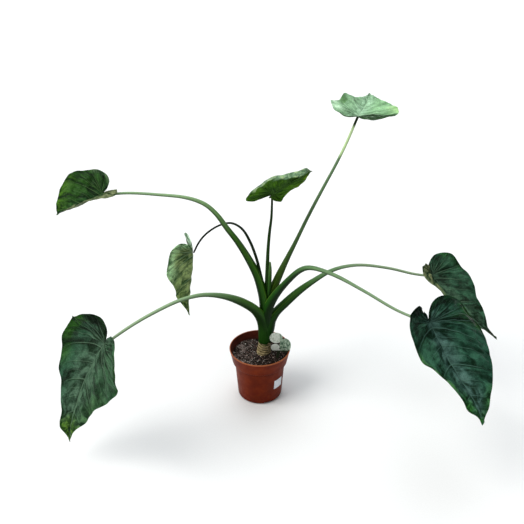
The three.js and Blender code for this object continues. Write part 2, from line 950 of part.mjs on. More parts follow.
// Care tag and its stake, grown by the same amount all round when it cuts its hole
function tag(grow) {
  const depth = TAG.thickness + 2 * grow;
  const lobes = TAG.lobes.map(([x, z, rx, rz]) =>
    new THREE.CylinderGeometry(1, 1, depth, TAG.sides)
      .scale(rx + grow, 1, rz + grow)
      .translate(x, TAG.y, z),
  );
  const [topX, topZ] = TAG.stakeTop;
  const [footX, footZ] = TAG.stakeFoot;
  const [topWidth, footWidth] = TAG.stakeWidth;
  const ring = (x, z, width) => [
    [x - width / 2 - grow, TAG.y - depth / 2, z],
    [x + width / 2 + grow, TAG.y - depth / 2, z],
    [x + width / 2 + grow, TAG.y + depth / 2, z],
    [x - width / 2 - grow, TAG.y + depth / 2, z],
  ];
  const stake = skin([ring(footX, footZ - grow, footWidth), ring(topX, topZ, topWidth)]);
  return lobes.reduce((body, lobe) => body.add(toSolid(lobe)), toSolid(stake));
}

function sticker() {
  const middle = radians(STICKER.azimuth);
  const ringOf = (k) => {
    const half = (STICKER.width / 2) * ((2 * k) / STICKER.steps - 1);
    const corner = (z, lift) => {
      const rise = z / POT.wallTop;
      const wall = THREE.MathUtils.lerp(POT.footRadius, POT.wallTopRadius, rise);
      const angle = middle + half / wall;
      const r = wall + lift;
      return [r * Math.cos(angle), r * Math.sin(angle), z];
    };
    const inner = GAP;
    const outer = GAP + STICKER.thickness;
    return [
      corner(STICKER.bottom, inner),
      corner(STICKER.top, inner),
      corner(STICKER.top, outer),
      corner(STICKER.bottom, outer),
    ];
  };
  const rings = [];
  for (let k = 0; k <= STICKER.steps; k++) {
    rings.push(ringOf(k));
  }
  return skin(rings);
}

// Assembly

const GREEN = { color: 0x24562a, roughness: 0.45, metalness: 0 };
const STALK_GREEN = { color: 0x4c7a3a, roughness: 0.5, metalness: 0 };
const BARK = { color: 0x82703f, roughness: 0.85, metalness: 0 };
const CLAY_PLASTIC = { color: 0x96411f, roughness: 0.42, metalness: 0 };
const EARTH = { color: 0x2a211c, roughness: 1, metalness: 0 };
const CARD = { color: 0xb9c4b4, roughness: 0.5, metalness: 0 };
const PAPER = { color: 0xd8dde2, roughness: 0.6, metalness: 0 };

const plant = new THREE.Group();
const still = new THREE.Vector3();

for (const leaf of LEAVES) {
  const blade = thicken(bladeSurface(leaf, bladeStart(leaf)));
  plant.add(piece("blade_" + leaf.name, blade, GREEN));
}

// Stalks from the innermost out: each ends just under its blade, and is cut clear of the stem and
// of every stalk inside it
const stemSeat = toSolid(stem(GAP));
const inner = [toSolid(stalk(SPEAR.route, SPEAR.azimuth, GAP, still))];
const spear = toSolid(stalk(SPEAR.route, SPEAR.azimuth, 0, still)).subtract(stemSeat);
plant.add(piece("spear", toGeometry(largestBody(spear)), STALK_GREEN));
for (let k = LEAVES.length - 1; k >= 0; k--) {
  const leaf = LEAVES[k];
  const seat = seatUnder(leaf);
  const whole = toSolid(stalk(leaf.route, leaf.azimuth, 0, seat));
  const cut = [...inner, stemSeat].reduce((body, cutter) => body.subtract(cutter), whole);
  plant.add(piece("petiole_" + leaf.name, toGeometry(largestBody(cut)), STALK_GREEN));
  inner.push(toSolid(stalk(leaf.route, leaf.azimuth, GAP, seat)));
}

plant.add(piece("stem", stem(0), BARK));
plant.add(piece("pot", toGeometry(pot()), CLAY_PLASTIC));
plant.add(piece("soil", toGeometry(largestBody(soil([stemSeat, tag(GAP)]))), EARTH));
plant.add(piece("care_tag", toGeometry(tag(0)), CARD));
plant.add(piece("sticker", sticker(), PAPER));

export default plant;
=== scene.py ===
# The looks of a potted Chinese taro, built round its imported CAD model.
# Sizes are millimetres in the part's frame: the origin is the middle of the pot's foot, +Z is up
# and -Y faces the camera. A blade's shape is in parts of its length and angles are in degrees.
# A material's colours are red, green and blue in thousandths. Blender itself gets metres.
import math
from functools import reduce
from types import SimpleNamespace as Sizes

import bpy
import numpy as np
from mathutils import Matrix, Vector


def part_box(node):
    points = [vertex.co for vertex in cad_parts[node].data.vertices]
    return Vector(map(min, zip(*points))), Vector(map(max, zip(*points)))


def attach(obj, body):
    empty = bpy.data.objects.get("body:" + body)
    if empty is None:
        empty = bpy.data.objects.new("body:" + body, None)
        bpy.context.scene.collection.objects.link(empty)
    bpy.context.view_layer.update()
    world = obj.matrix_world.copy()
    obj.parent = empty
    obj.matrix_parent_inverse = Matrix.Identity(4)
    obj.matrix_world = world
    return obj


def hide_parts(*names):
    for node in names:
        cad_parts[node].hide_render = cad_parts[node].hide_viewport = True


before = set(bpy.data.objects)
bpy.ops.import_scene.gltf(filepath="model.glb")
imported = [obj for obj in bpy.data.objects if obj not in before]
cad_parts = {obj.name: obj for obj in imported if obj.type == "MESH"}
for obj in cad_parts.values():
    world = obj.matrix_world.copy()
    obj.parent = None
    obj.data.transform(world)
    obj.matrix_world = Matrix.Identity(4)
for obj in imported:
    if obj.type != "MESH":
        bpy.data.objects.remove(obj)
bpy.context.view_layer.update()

MM = 0.001
TURN = 2 * math.pi
UP = np.array([0, 0, 1.0])
STEM_AXIS = np.array([11.0, 8.0, 0.0])
STEM_FOOT = np.array([8.6, 8.0, 0.0])

# Half of a leaf's outline, from the notch round the lobe to the drip tip, in parts of its length
HALF_OUTLINE = [(0, -0.03), (0.035, -0.12), (0.1, -0.215), (0.2, -0.262), (0.315, -0.225),
                (0.395, -0.12), (0.425, 0.02), (0.41, 0.17), (0.355, 0.35), (0.275, 0.53),
                (0.185, 0.69), (0.1, 0.82), (0.04, 0.91), (0.014, 0.965), (0, 1)]
HALF_WIDTH = 0.425
VEINS = 9
ROWS_PER_VEIN = 20
COLUMNS = 36
RIB_START, RIB_STEP, RIB_STEPS = -0.5, 0.01, 155
STALK_SIDES = 32
RINGS_PER_POINT = 8
SEAT_GAP = 0.8

# How far a margin's crinkles go sideways and up, and the waves that they are a sum of: how many
# there are along the margin, and how high each kind is
CRINKLE = np.array([0.0026, 0.0045])
CRINKLE_WAVES = np.array([4.3, 7.1, 12.7])
CRINKLE_PARTS = np.array([1, 0.8, 0.35])


def table(names, *rows):
    return {name: dict(zip(names.split(), values)) for name, *values in rows}


# The seven leaves. A stalk's route is (distance from the stem's axis, height, radius). heading,
# pitch and roll turn a blade, bend, sway, twist and tipDroop shape its midrib, and fold, curl and
# lobeTilt raise its sides. Waves move its margin up and down, ripples in and out. PAIRS are its
# left and right halves, seen from above with the tip ahead, and bumps of its margin are (place
# along the blade, reach, how far outward, how far up).
PAIRS = "width lobe fold curl lobeTilt wave phase ripple ripplePhase bumps"
LEAVES = table(
    "azimuth route length heading pitch roll bend sway twist tipDroop waves ripples " + PAIRS,
    ("front_left", 217, [(0, 139, 14.2), (1, 173, 14.4), (6, 198, 13.2), (17, 223, 12.2),
      (35, 247, 11.1), (68, 277, 9.7), (105, 303, 7.3), (144, 323, 5.3), (181, 335, 4.5),
      (231, 340, 4), (294, 334, 3.6), (352, 323, 3.2), (403, 309, 2.8)],
     272, 163, -61, -39, 3, 40, -21, 6, 1.25, 3.1, (0.87, 0.75), (0.79, 0.81), (6, 18), (-28, 36),
     (14, 35), (0.029, 0.054), (3.05, -0.07), (0, 0.009), (-0.57, -0.39),
     (((0.37, 0.1, 0, 0), (0.76, 0.1, 0.021, -0.03)),
     ((0.45, 0.08, -0.003, 0.015), (0.9, 0.1, 0.023, 0.035)))),
    ("right", 12, [(2, 142, 14), (8, 172, 14.6), (14, 196, 13), (28, 217, 10), (48, 237, 9.5),
      (81, 267, 8.3), (118, 292, 6.1), (150, 309, 4.8), (186, 317, 4.1), (229, 315, 3.6),
      (286, 300, 3.3), (345, 279, 3.1), (395, 267, 2.8)],
     216, -61, -19, -14, -6, 29, 11, 12, 2.23, 2.5, (0.78, 0.7), (0.73, 0.2), (30, 32), (3, -9),
     (11, 15), (0.043, 0.059), (-2.02, 3.2), (0.016, 0.095), (-0.46, -0.13),
     (((0.4, 0.09, 0.021, -0.005), (0.85, 0.06, -0.004, -0.028)),
     ((0.43, 0.09, 0.015, -0.004), (0.87, 0.08, -0.014, 0.012)))),
    ("front_right", -30, [(0, 150, 12.6), (2, 193, 13.2), (6, 224, 12.9), (16, 253, 11.2),
      (34, 287, 9.3), (59, 324, 7.6), (83, 354, 6.8), (106, 370, 5.6), (137, 374, 4.7),
      (182, 369, 4.1), (239, 354, 3.4), (313, 333, 3), (388, 326, 2.8)],
     241, -69, -29, -16, -20, -2, 11, 43, 1.37, 2.9, (1.25, 0.91), (0.9, 0.31), (21, 14),
     (-37, 13), (-3, 22), (0.004, 0.07), (0.77, 1.8), (0.007, 0.035), (-1.03, -1.46),
     (((0.35, 0.09, -0.003, 0.007), (0.89, 0.08, 0.013, 0.001)),
     ((0.39, 0.09, 0.012, -0.015), (0.86, 0.06, 0.032, -0.03)))),
    ("upper_left", 170, [(0, 158, 11.4), (0, 209, 11.8), (1, 247, 11.5), (7, 281, 10.7),
      (18, 318, 9.6), (37, 358, 8.2), (59, 396, 7.1), (83, 429, 6.3), (106, 462, 5.4),
      (134, 485, 4.8), (176, 496, 4), (237, 497, 3.4), (304, 496, 3.1), (359, 488, 2.6)],
     151, 234, 0, -6, -13, 17, 30, -4, 1.6, 2.9, (0.73, 1.25), (0.39, 1.26), (27, 33), (-19, -13),
     (8, -7), (0.038, 0.022), (2.75, -1.1), (0.018, 0.025), (0.61, -0.44),
     (((0.13, 0.1, 0.001, 0.004), (0.69, 0.08, 0.003, -0.002)),
     ((-0.07, 0.1, -0.014, -0.02), (0.68, 0.07, -0.01, -0.009)))),
    ("upper_right", 20, [(0, 168, 9.4), (2, 219, 10), (9, 247, 9.9), (20, 277, 9.4),
      (35, 313, 8.2), (53, 351, 6), (74, 393, 4.5), (96, 439, 3.9), (119, 484, 3.7),
      (141, 525, 3.4), (162, 564, 3.2), (184, 610, 3), (207, 666, 2.7)],
     170, 74, -9, 13, -6, 10, -3, -3, 1.43, 2.5, (0.87, 1.15), (0.99, 1.04), (7, 21), (7, 1),
     (-2, 1), (0.029, 0.015), (-2.84, -1.21), (0.061, 0.001), (0.6, 1.37),
     (((0.47, 0.1, 0.02, 0.036), (0.84, 0.11, -0.007, -0.017)),
     ((0.38, 0.09, -0.002, 0), (0.72, 0.1, -0.011, -0.002)))),
    ("back_left", 147, [(0, 178, 6), (1, 252, 5.6), (5, 285, 4.5), (12, 319, 3.7), (22, 355, 3.3),
      (38, 391, 3.2), (59, 417, 2.8), (88, 423, 2.5), (121, 407, 2.4), (155, 377, 2.4),
      (181, 343, 2.3), (198, 313, 2.1)],
     167, 164, -86, 3, -2, 27, 3, 31, 1.68, 1.7, (1.05, 0.7), (0.75, 0.84), (36, 36), (-18, -19),
     (3, 21), (0.029, 0.028), (-1.17, 0.91), (0.038, 0.003), (-0.42, -2.15),
     (((0.19, 0.07, -0.011, 0.005), (0.7, 0.07, -0.005, 0.038)),
     ((0.11, 0.09, -0.011, -0.02), (0.68, 0.08, -0.001, 0)))),
    ("top", 60, [(0, 188, 5.4), (7, 248, 5.5), (10, 294, 5), (12, 340, 4.2), (15, 380, 3.7),
      (21, 418, 3.3), (29, 453, 2.8), (31, 504, 2.3)],
     125, 38, 13, 3, 6, 15, 5, 29, 1.36, 2.2, (1.05, 0.84), (1.46, 0.35), (10, 20), (-31, 6),
     (-6, -15), (0.029, 0.043), (-0.83, 0.23), (0.022, 0.01), (1.84, -0.34),
     (((0.4, 0.09, -0.001, 0.004), (0.92, 0.1, 0.017, 0.054)),
     ((0.4, 0.09, -0.005, -0.001), (0.81, 0.08, -0.006, 0.002)))))

SPEAR = dict(azimuth=-10, route=[
    (0, 200, 4.2), (9, 264, 4.2), (11, 301, 4.2), (12, 330, 3.9), (12, 353, 1.8)])


# Numbers

def norm(v):
    return np.linalg.norm(v, axis=-1)


def unit(v):
    return v / np.maximum(norm(v)[..., None], 1e-9)


def smooth(x, low, high):
    s = np.clip((x - low) / (high - low), 0, 1)
    return s * s * (3 - 2 * s)


def bell(x):
    return np.exp(-x ** 2)


def spline(points, t):
    """A smooth curve through points, at places t from 0 to 1."""
    p = np.asarray(points, float)
    p = np.vstack([2 * p[0] - p[1], p, 2 * p[-1] - p[-2]])
    x = np.clip(np.asarray(t, float), 0, 1) * (len(points) - 1)
    k = np.minimum(x.astype(int), len(points) - 2)
    w = (x - k)[..., None]
    a, b, c, d = p[k], p[k + 1], p[k + 2], p[k + 3]
    bend = 2 * a - 5 * b + 4 * c - d + w * (3 * (b - c) + d - a)
    return b + 0.5 * w * (c - a + w * bend)


def undulation(points, wavelength, seed, waves=7):
    """A smooth random value from about -1 to 1 at each point: a sum of plane waves."""
    random = np.random.default_rng(seed)
    total = np.zeros(points.shape[:-1])
    for _ in range(waves):
        way = unit(random.normal(size=3)) * (TURN / wavelength) * random.uniform(0.7, 1.4)
        total += np.sin(points @ way + random.uniform(0, TURN))
    return total / math.sqrt(waves)


def level_way(azimuth):
    turn = math.radians(azimuth)
    return np.array([math.cos(turn), math.sin(turn), 0])


def turned(one, two, angle):
    """Two ways at right angles, turned from the first towards the second."""
    return one * np.cos(angle) + two * np.sin(angle), two * np.cos(angle) - one * np.sin(angle)


def circle(sides):
    return TURN * np.arange(sides) / sides


# Meshes

def gather(*threes):
    """Triangles from arrays of their three corners."""
    return np.concatenate([np.stack(three, -1).reshape(-1, 3) for three in threes])


def quads(a, b, c, d):
    return gather((a, b, c), (a, c, d))


def rings_about_z(radius, height, angle):
    place = radius * np.cos(angle), radius * np.sin(angle), height
    return np.stack(np.broadcast_arrays(*place), -1)


def join_rings(count, sides):
    """Triangles between rings of points that close on themselves."""
    i, j = np.meshgrid(np.arange(count - 1), np.arange(sides), indexing="ij")
    a, b = i * sides + j, i * sides + (j + 1) % sides
    return quads(a, b, b + sides, a + sides)


def fan(ring, hub, flip=False):
    pair = ring, np.roll(ring, -1)
    return np.stack([*(pair[::-1] if flip else pair), np.full(len(ring), hub)], -1)


def closed_rings(rings, hubs=None):
    """Points and triangles of rings joined in turn and closed at both ends round a hub."""
    count, sides = rings.shape[:2]
    if hubs is None:
        hubs = rings[0].mean(0), rings[-1].mean(0)
    points = np.vstack([rings.reshape(-1, 3), *hubs])
    first = np.arange(sides)
    last = first + (count - 1) * sides
    ends = fan(first, len(points) - 2, True), fan(last, len(points) - 1)
    return points, np.concatenate([join_rings(count, sides), *ends])


def mesh_object(name, points, triangles, numbers=None, facts=None, uv=None, flat=False):
    """A mesh of triangles. facts and uv are given per corner, numbers are the triangles'
    material numbers."""
    mesh = bpy.data.meshes.new(name)
    count = len(triangles)
    mesh.vertices.add(len(points))
    mesh.loops.add(3 * count)
    mesh.polygons.add(count)

    def fill(items, key, values, kind):
        items.foreach_set(key, np.asarray(values).astype(kind).ravel())

    fill(mesh.vertices, "co", points * MM, np.float32)
    fill(mesh.loops, "vertex_index", triangles, np.int32)
    fill(mesh.polygons, "loop_start", np.arange(0, 3 * count, 3), np.int32)
    fill(mesh.polygons, "use_smooth", np.full(count, not flat), bool)
    if numbers is not None:
        fill(mesh.polygons, "material_index", numbers, np.int32)
    for key, values in (facts or {}).items():
        fill(mesh.attributes.new(key, "FLOAT_VECTOR", "CORNER").data, "vector", values, np.float32)
    if uv is not None:
        fill(mesh.uv_layers.new(name="OFBake").data, "uv", uv, np.float32)
    mesh.update(calc_edges=True)
    mesh.validate()
    made = bpy.data.objects.new(name, mesh)
    bpy.context.scene.collection.objects.link(made)
    return made


def into_box(points, node):
    """Keeps points inside the box of the CAD node that they stand for."""
    low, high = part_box(node)
    return np.clip(points, np.array(low) / MM, np.array(high) / MM)


def dress(made, node, slot, *materials):
    """Gives a piece its materials and puts it in the place of its CAD node."""
    for material in materials:
        made.data.materials.append(material)
    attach(made, "root")
    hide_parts(node)


# Blades

def on_route(azimuth, point):
    """Where points of a stalk's route are."""
    return STEM_AXIS + point[..., :1] * level_way(azimuth) + point[..., 1:2] * UP


def blade_start(leaf):
    return on_route(leaf["azimuth"], np.array(leaf["route"][-1]))


def blade_frame(leaf):
    """A blade's ways: along its midrib, to its left and up."""
    along, up = turned(level_way(leaf["heading"]), UP, math.radians(leaf["pitch"]))
    return np.array([along, *turned(np.cross(up, along), up, math.radians(leaf["roll"]))])


def make_rib(leaf):
    """The midrib in the blade's own frame: places, ways to the left and ways up."""
    v = RIB_START + RIB_STEP * np.arange(RIB_STEPS + 1)
    past = np.maximum(v, 0)
    bend, droop, sway, twist = np.radians([leaf[k] for k in ("bend", "tipDroop", "sway", "twist")])
    down = (-bend * v - droop * np.maximum((v - 0.6) / 0.4, 0) ** 2)[:, None]
    side = sway * past ** 2
    ahead, up = turned(np.stack([np.cos(side), np.sin(side), 0 * side], -1), UP, down)
    steps = 0.5 * (ahead[1:] + ahead[:-1]) * RIB_STEP
    place = np.vstack([np.zeros(3), np.cumsum(steps, 0)])
    left, up = turned(np.cross(up, ahead), up, (twist * past)[:, None])
    return place - place[round(-RIB_START / RIB_STEP)], left, up


def blade_point(leaf, rib, side, out, along, t, swell):
    """Points of a blade's middle surface, from its flat outline's places. t is 1 at the margin."""
    width, lobe, fold, curl, lobe_tilt, wave, phase, ripple, ripple_phase, bumps = (
        leaf[key][side] for key in PAIRS.split())
    ripple = ripple * np.sin(TURN * leaf["ripples"] * along + ripple_phase)
    across = out * width * (1 + ripple * (out / HALF_WIDTH) ** 2)
    narrow = t ** 2 * smooth(out, 0, 0.06)
    for middle, reach, outward, upward in bumps:
        bump = narrow * bell((along - middle) / reach)
        across = across + bump * outward
        swell = swell + bump * upward
    v = np.where(along < 0, along * (1 + (lobe - 1) * smooth(out, 0, 0.1)), along)
    x = np.clip((v - RIB_START) / RIB_STEP, 0, RIB_STEPS - 0.001)
    k = x.astype(int)
    w = (x - k)[..., None]
    place, left, up = (part[k] * (1 - w) + part[k + 1] * w for part in rib)
    tilt = fold + curl * across / (2 * HALF_WIDTH) + lobe_tilt * smooth(0.1 - along, 0, 0.3)
    tilt = np.radians(tilt)
    wave = wave * smooth(along, -0.1, 0.2) * (across / HALF_WIDTH) ** 2
    wave = wave * np.sin(TURN * leaf["waves"] * v + phase)
    sideways = across * np.cos(tilt) * (-1 if side else 1)
    upward = across * np.sin(tilt) + wave + swell
    local = place + left * sideways[..., None] + up * upward[..., None]
    return blade_start(leaf) + local @ blade_frame(leaf) * leaf["length"]


def blade(name, leaf, seed):
    """A blade laid out along its veins, with sunken veins above, raised ones below and a swell
    between them. Its corners carry where they are, for the material."""
    rows = VEINS * ROWS_PER_VEIN
    u = np.arange(rows + 1) / rows
    edge = spline(HALF_OUTLINE, u)
    x, y = edge[:, :1], edge[:, 1:]
    root = np.maximum(0, y - 0.7 * x)
    rise = y - root
    t = np.arange(COLUMNS + 1)[None, :] / COLUMNS
    bend = root + (0.5 - 0.22 * smooth(rise, 0, 0.3)) * rise
    out = 2 * t * (1 - t) * 0.55 * x + t * t * x
    along = (1 - t) ** 2 * root + 2 * t * (1 - t) * bend + t * t * y
    vein, t = np.broadcast_arrays(VEINS * u[:, None], t)
    rib = make_rib(leaf)
    length = leaf["length"]

    def quilt(vein, t):
        return (0.5 - 0.5 * np.cos(TURN * vein)) * np.sin(math.pi * t)

    ahead = np.gradient(edge, axis=0)
    run = np.cumsum(norm(ahead))
    run = run[:, None] / run[-1]
    ahead = unit(ahead)
    phases = np.random.default_rng(seed + 5).uniform(0, TURN, (2, 2, 3))
    calm_ends = smooth(run, 0.06, 0.2) * (1 - smooth(run, 0.8, 0.97))
    points, facts = [], []
    for side in (0, 1):
        # Fine crinkles, which shift the margin in and out and up and down
        crinkle = np.sin(TURN * CRINKLE_WAVES * run[:, None] + phases[side]) @ CRINKLE_PARTS
        shift, lift = (CRINKLE * crinkle * calm_ends).T[..., None] * smooth(t, 0.5, 1)
        place = out + shift * ahead[:, 1:], along - shift * ahead[:, :1]
        half = blade_point(leaf, rib, side, *place, t, 0.007 * quilt(vein, t) + lift)
        pitch = norm(np.gradient(half, axis=0)) * ROWS_PER_VEIN
        inward = np.cumsum(norm(np.diff(half, axis=1)), axis=1)
        inward = np.hstack([np.zeros((rows + 1, 1)), inward])
        from_rib = out * leaf["width"][side] * length * (-1 if side else 1)
        points.append(half)
        facts.append(np.stack([vein, t, pitch, from_rib, inward[:, -1:] - inward, along], -1))
    grid = np.arange(2 * out.size).reshape(2, *out.shape)
    points, facts = np.stack(points).reshape(-1, 3), np.stack(facts).reshape(-1, 6)

    # One triangle pair for each cell, turned the other way on the right half
    a, b, c, d = grid[:, :-1, :-1], grid[:, 1:, :-1], grid[:, 1:, 1:], grid[:, :-1, 1:]
    cells = np.concatenate([quads(a[0], b[0], c[0], d[0]), quads(a[1], d[1], c[1], b[1])])

    # Corners in one place become one
    _, first, same = np.unique(points.round(3), axis=0, return_index=True, return_inverse=True)
    same = same.reshape(-1)
    welded = same[cells]
    keep = (welded != np.roll(welded, 1, axis=1)).all(1)
    cells, welded = cells[keep], welded[keep]
    middle = points[first]
    a, b, c = middle[welded].swapaxes(0, 1)
    normal = np.zeros_like(middle)
    np.add.at(normal, welded, np.cross(b - a, c - a)[:, None])
    normal = unit(normal)

    # Relief, in millimetres along the surface's normal
    vein, t, pitch, from_rib, to_margin, forward = facts[first].T
    from_rib, from_start = np.abs(from_rib), norm(middle - blade_start(leaf))
    veined = bell((vein - np.round(vein)) * pitch / 1.6) * smooth(t, 0, 0.12)
    veined = veined * smooth(to_margin, 0, 12)
    ribbed = bell(from_rib / 1.9) * smooth(from_start, 2, 14)
    swell = quilt(vein, t) * (0.9 + 0.9 * undulation(middle, 17, seed + 2))
    folds = 1.3 * undulation(middle, 44, seed) + 0.7 * undulation(middle, 20, seed + 1)
    bumps = folds * smooth(from_start, 8, 50) * smooth(to_margin, -6, 10)
    bumps = bumps + length / 160 * swell * smooth(from_start, 5, 25) - 0.7 * veined
    keel = smooth(forward, 0, 0.05) * (1 - forward) * bell(from_rib / length / 0.03)
    half_thick = 0.1 + 0.3 * smooth(to_margin, 0, 5)
    reliefs = bumps + half_thick - 0.7 * ribbed, bumps - half_thick - 1.8 * keel
    both = np.vstack([middle + normal * relief[:, None] for relief in reliefs])

    # The wall round the margin has corners of its own, so that it doesn't round the shading
    count = len(middle)
    starts = np.concatenate([grid[0, 1:, -1], grid[1, :-1, -1]])
    ends = np.concatenate([grid[0, :-1, -1], grid[1, 1:, -1]])
    p, q = same[starts], same[ends]
    wall = quads(q, p, p + count, q + count)
    triangles = np.concatenate([welded, welded[:, ::-1] + count, wall + 2 * count])
    corners = np.concatenate([cells, cells[:, ::-1], quads(ends, starts, starts, ends)])
    numbers = np.repeat([0, 1, 1], [len(cells), len(cells), len(wall)])

    # Both faces lie flat side by side in the texture
    flat_out = np.stack([out, -out]).reshape(-1)[corners]
    uv = np.stack([0.25 + 0.5 * numbers[:, None] + flat_out * 0.55,
                   (facts[corners, 5] + 0.3) / 1.34], -1)
    facts = {"vein": facts[corners, :3], "spot": facts[corners, 3:]}
    points = into_box(np.vstack([both, both]), "blade_" + name)
    return mesh_object("leaf_" + name, points, triangles, numbers, facts, uv)


# Stalks

def seat_under(leaf):
    """How far a stalk's end stands off under its blade, as the CAD has it."""
    before, end = on_route(leaf["azimuth"], np.array(leaf["route"][-2:]))
    up = blade_frame(leaf)[2]
    disc = leaf["route"][-1][2] * math.sqrt(1 - float(unit(end - before) @ up) ** 2)
    return -up * (SEAT_GAP + disc)


def stalk_section(angle, t, look):
    """A stalk's radius round its section, as parts of its radius: angle is 0 below and half a
    turn above. The sheath has a groove between two raised margins, the stalk a channel."""
    top = angle - math.pi
    channel = 0.22 * bell(top / 0.6) * smooth(t, 0.25, 0.5)
    sheath = 1 - smooth(t, look["sheath"] - look["fade"], look["sheath"])
    margins = 0.1 * bell((np.abs(top) - 0.8) / 0.12)
    groove = 0.14 * bell(top / 0.55)
    facets = 0.018 * np.cos(look["facets"] * angle + 0.6)
    return 1 - channel + (margins - groove) * sheath + facets


def spear_section(angle, t, look):
    """A rolled leaf: its outer edge winds round it."""
    turn = np.mod(angle - 2.2 * t - 1.2, TURN)
    return 1 - 0.2 * np.exp(-turn / 0.5) + 0.02 * np.cos(look["facets"] * angle)


def stalk(name, node, leaf, seat, section, look):
    """A stalk along its leaf's route. Its end is moved by seat."""
    route, azimuth = leaf["route"], leaf["azimuth"]
    t = np.linspace(0, 1, (len(route) - 1) * RINGS_PER_POINT + 1)

    def centre(t):
        return on_route(azimuth, spline(route, t)) + seat * smooth(t, 0.85, 1)[:, None]

    middle = centre(t)
    ahead = centre(np.minimum(t + 0.01, 1)) - centre(np.maximum(t - 0.01, 0))
    across = level_way(azimuth + 90)
    upper = unit(np.cross(ahead, across))
    angle, tt = np.meshgrid(np.linspace(0, TURN, STALK_SIDES + 1), t)
    radius = (spline(route, t)[:, 2:3] * section(angle, tt, look))[..., None]
    outward, _ = turned(-upper[:, None], across, angle[..., None])
    points, triangles = closed_rings((middle[:, None] + radius * outward)[:, :-1], middle[[0, -1]])
    run = np.concatenate([[0], np.cumsum(norm(np.diff(middle, axis=0)))])
    facts = np.stack(np.broadcast_arrays(tt, np.abs(angle - math.pi), run[:, None]), -1)
    uv = np.stack([angle / TURN, tt], -1)
    grid = np.arange(tt.size).reshape(tt.shape)
    corners = quads(grid[:-1, :-1], grid[:-1, 1:], grid[1:, 1:], grid[1:, :-1])
    cap_facts = np.zeros((2 * STALK_SIDES, 3, 3))
    cap_facts[STALK_SIDES:, :, 0] = 1
    cap_uv = np.full((2 * STALK_SIDES, 3, 2), 0.001)
    facts = {"stalk": np.concatenate([facts.reshape(-1, 3)[corners], cap_facts])}
    uv = np.concatenate([uv.reshape(-1, 2)[corners], cap_uv])
    return mesh_object(name, into_box(points, node), triangles, None, facts, uv)


# Materials

def rgba(colour):
    return [part / 1000 for part in colour] + [1]


class Nodes:
    """Builds one material's nodes. A value is a number, a colour (red, green and blue in
    thousandths) or another node's output."""

    def __init__(self, name):
        self.material = bpy.data.materials.new(name)
        self.material.use_nodes = True
        self.material.node_tree.nodes.clear()
        self.spot = self.place(1, 1, 1)

    def node(self, kind, inputs, **settings):
        """A new node's outputs. Its inputs are given in order, or by name or number."""
        tree = self.material.node_tree
        made = tree.nodes.new("ShaderNode" + kind)
        for key, value in settings.items():
            setattr(made, key, value)
        for key, value in inputs.items() if isinstance(inputs, dict) else enumerate(inputs):
            socket = made.inputs[key]
            if isinstance(value, bpy.types.NodeSocket):
                tree.links.new(value, socket)
            elif value is not None:
                socket.default_value = rgba(value) if socket.type == "RGBA" else value
        return made.outputs

    def math(self, operation, *values):
        return self.node("Math", values, operation=operation)[0]

    def times(self, *values):
        return reduce(lambda a, b: self.math("MULTIPLY", a, b), values)

    def most(self, *values):
        return reduce(lambda a, b: self.math("MAXIMUM", a, b), values)

    def add(self, total, *parts):
        """Adds to a value others, each times a number."""
        for value, number in parts:
            total = self.math("MULTIPLY_ADD", value, number, total)
        return total

    def apart(self, a, b):
        return self.math("ABSOLUTE", self.math("SUBTRACT", a, b))

    def fade(self, value, low, high, start=0.0, end=1.0):
        inputs = value, low, high, start, end
        return self.node("MapRange", inputs, interpolation_type="SMOOTHSTEP")[0]

    def mix(self, colour, *layers, blend="MIX"):
        """Lays colours over a colour. A layer is a colour and its strengths, which multiply."""
        for tint, *strengths in layers:
            inputs = {0: self.times(*strengths), 6: colour, 7: tint}
            colour = self.node("Mix", inputs, data_type="RGBA", blend_type=blend)[2]
        return colour

    def dye(self, colour, *layers):
        """Multiplies a colour by others, given as for mix."""
        return self.mix(colour, *layers, blend="MULTIPLY")

    def ramp(self, value, *stops):
        """A colour for each value, from stops of a value and its red, green and blue."""
        out = self.node("ValToRGB", [value])[0]
        elements = out.node.color_ramp.elements
        for _ in stops[2:]:
            elements.new(1)
        for element, (place, *colour) in zip(elements, stops):
            element.position = place
            element.color = rgba(colour)
        return out

    def attribute(self, name):
        """The three numbers that a mesh's corners carry under this name."""
        made = self.node("Attribute", (), attribute_type="GEOMETRY", attribute_name=name)
        return self.node("SeparateXYZ", [made["Vector"]])

    def place(self, *scale):
        """The object's own coordinates in millimetres, stretched by scale."""
        here = self.node("TexCoord", ())["Object"]
        return self.node("Mapping", {"Vector": here, "Scale": [1000 * s for s in scale]})[0]

    def xyz(self):
        return self.node("SeparateXYZ", [self.spot])

    def noise(self, size, detail=3, rough=0.6, warp=0.0, at=None):
        """Noise from about 0.2 to 0.8 whose lumps are about this many millimetres apart."""
        inputs = {"Vector": self.spot if at is None else at, "Scale": 1 / size, "Detail": detail,
                  "Roughness": rough, "Distortion": warp}
        return self.node("TexNoise", inputs)[0]

    def cells(self, size, feature="F1"):
        inputs = {"Vector": self.spot, "Scale": 1 / size}
        return self.node("TexVoronoi", inputs, feature=feature)["Distance"]

    def finish(self, colour, rough, gloss, relief=(), glow=None, share=0.0):
        """Ends the material. relief is laid over relief: heights of 0 to 1, each with its depth
        in millimetres. glow is the colour of the share of light that passes through."""
        normal = None
        for height, depth in relief:
            inputs = {"Strength": 1, "Height": height, "Distance": depth * MM, "Normal": normal}
            normal = self.node("Bump", inputs)[0]
        inputs = {"Base Color": colour, "Roughness": rough, "Specular IOR Level": gloss,
                  "Normal": normal}
        surface = self.node("BsdfPrincipled", inputs)[0]
        if glow:
            through = self.node("BsdfTranslucent", {"Color": glow})[0]
            surface = self.node("MixShader", (share, surface, through))[0]
        self.node("OutputMaterial", [surface])
        return self.material


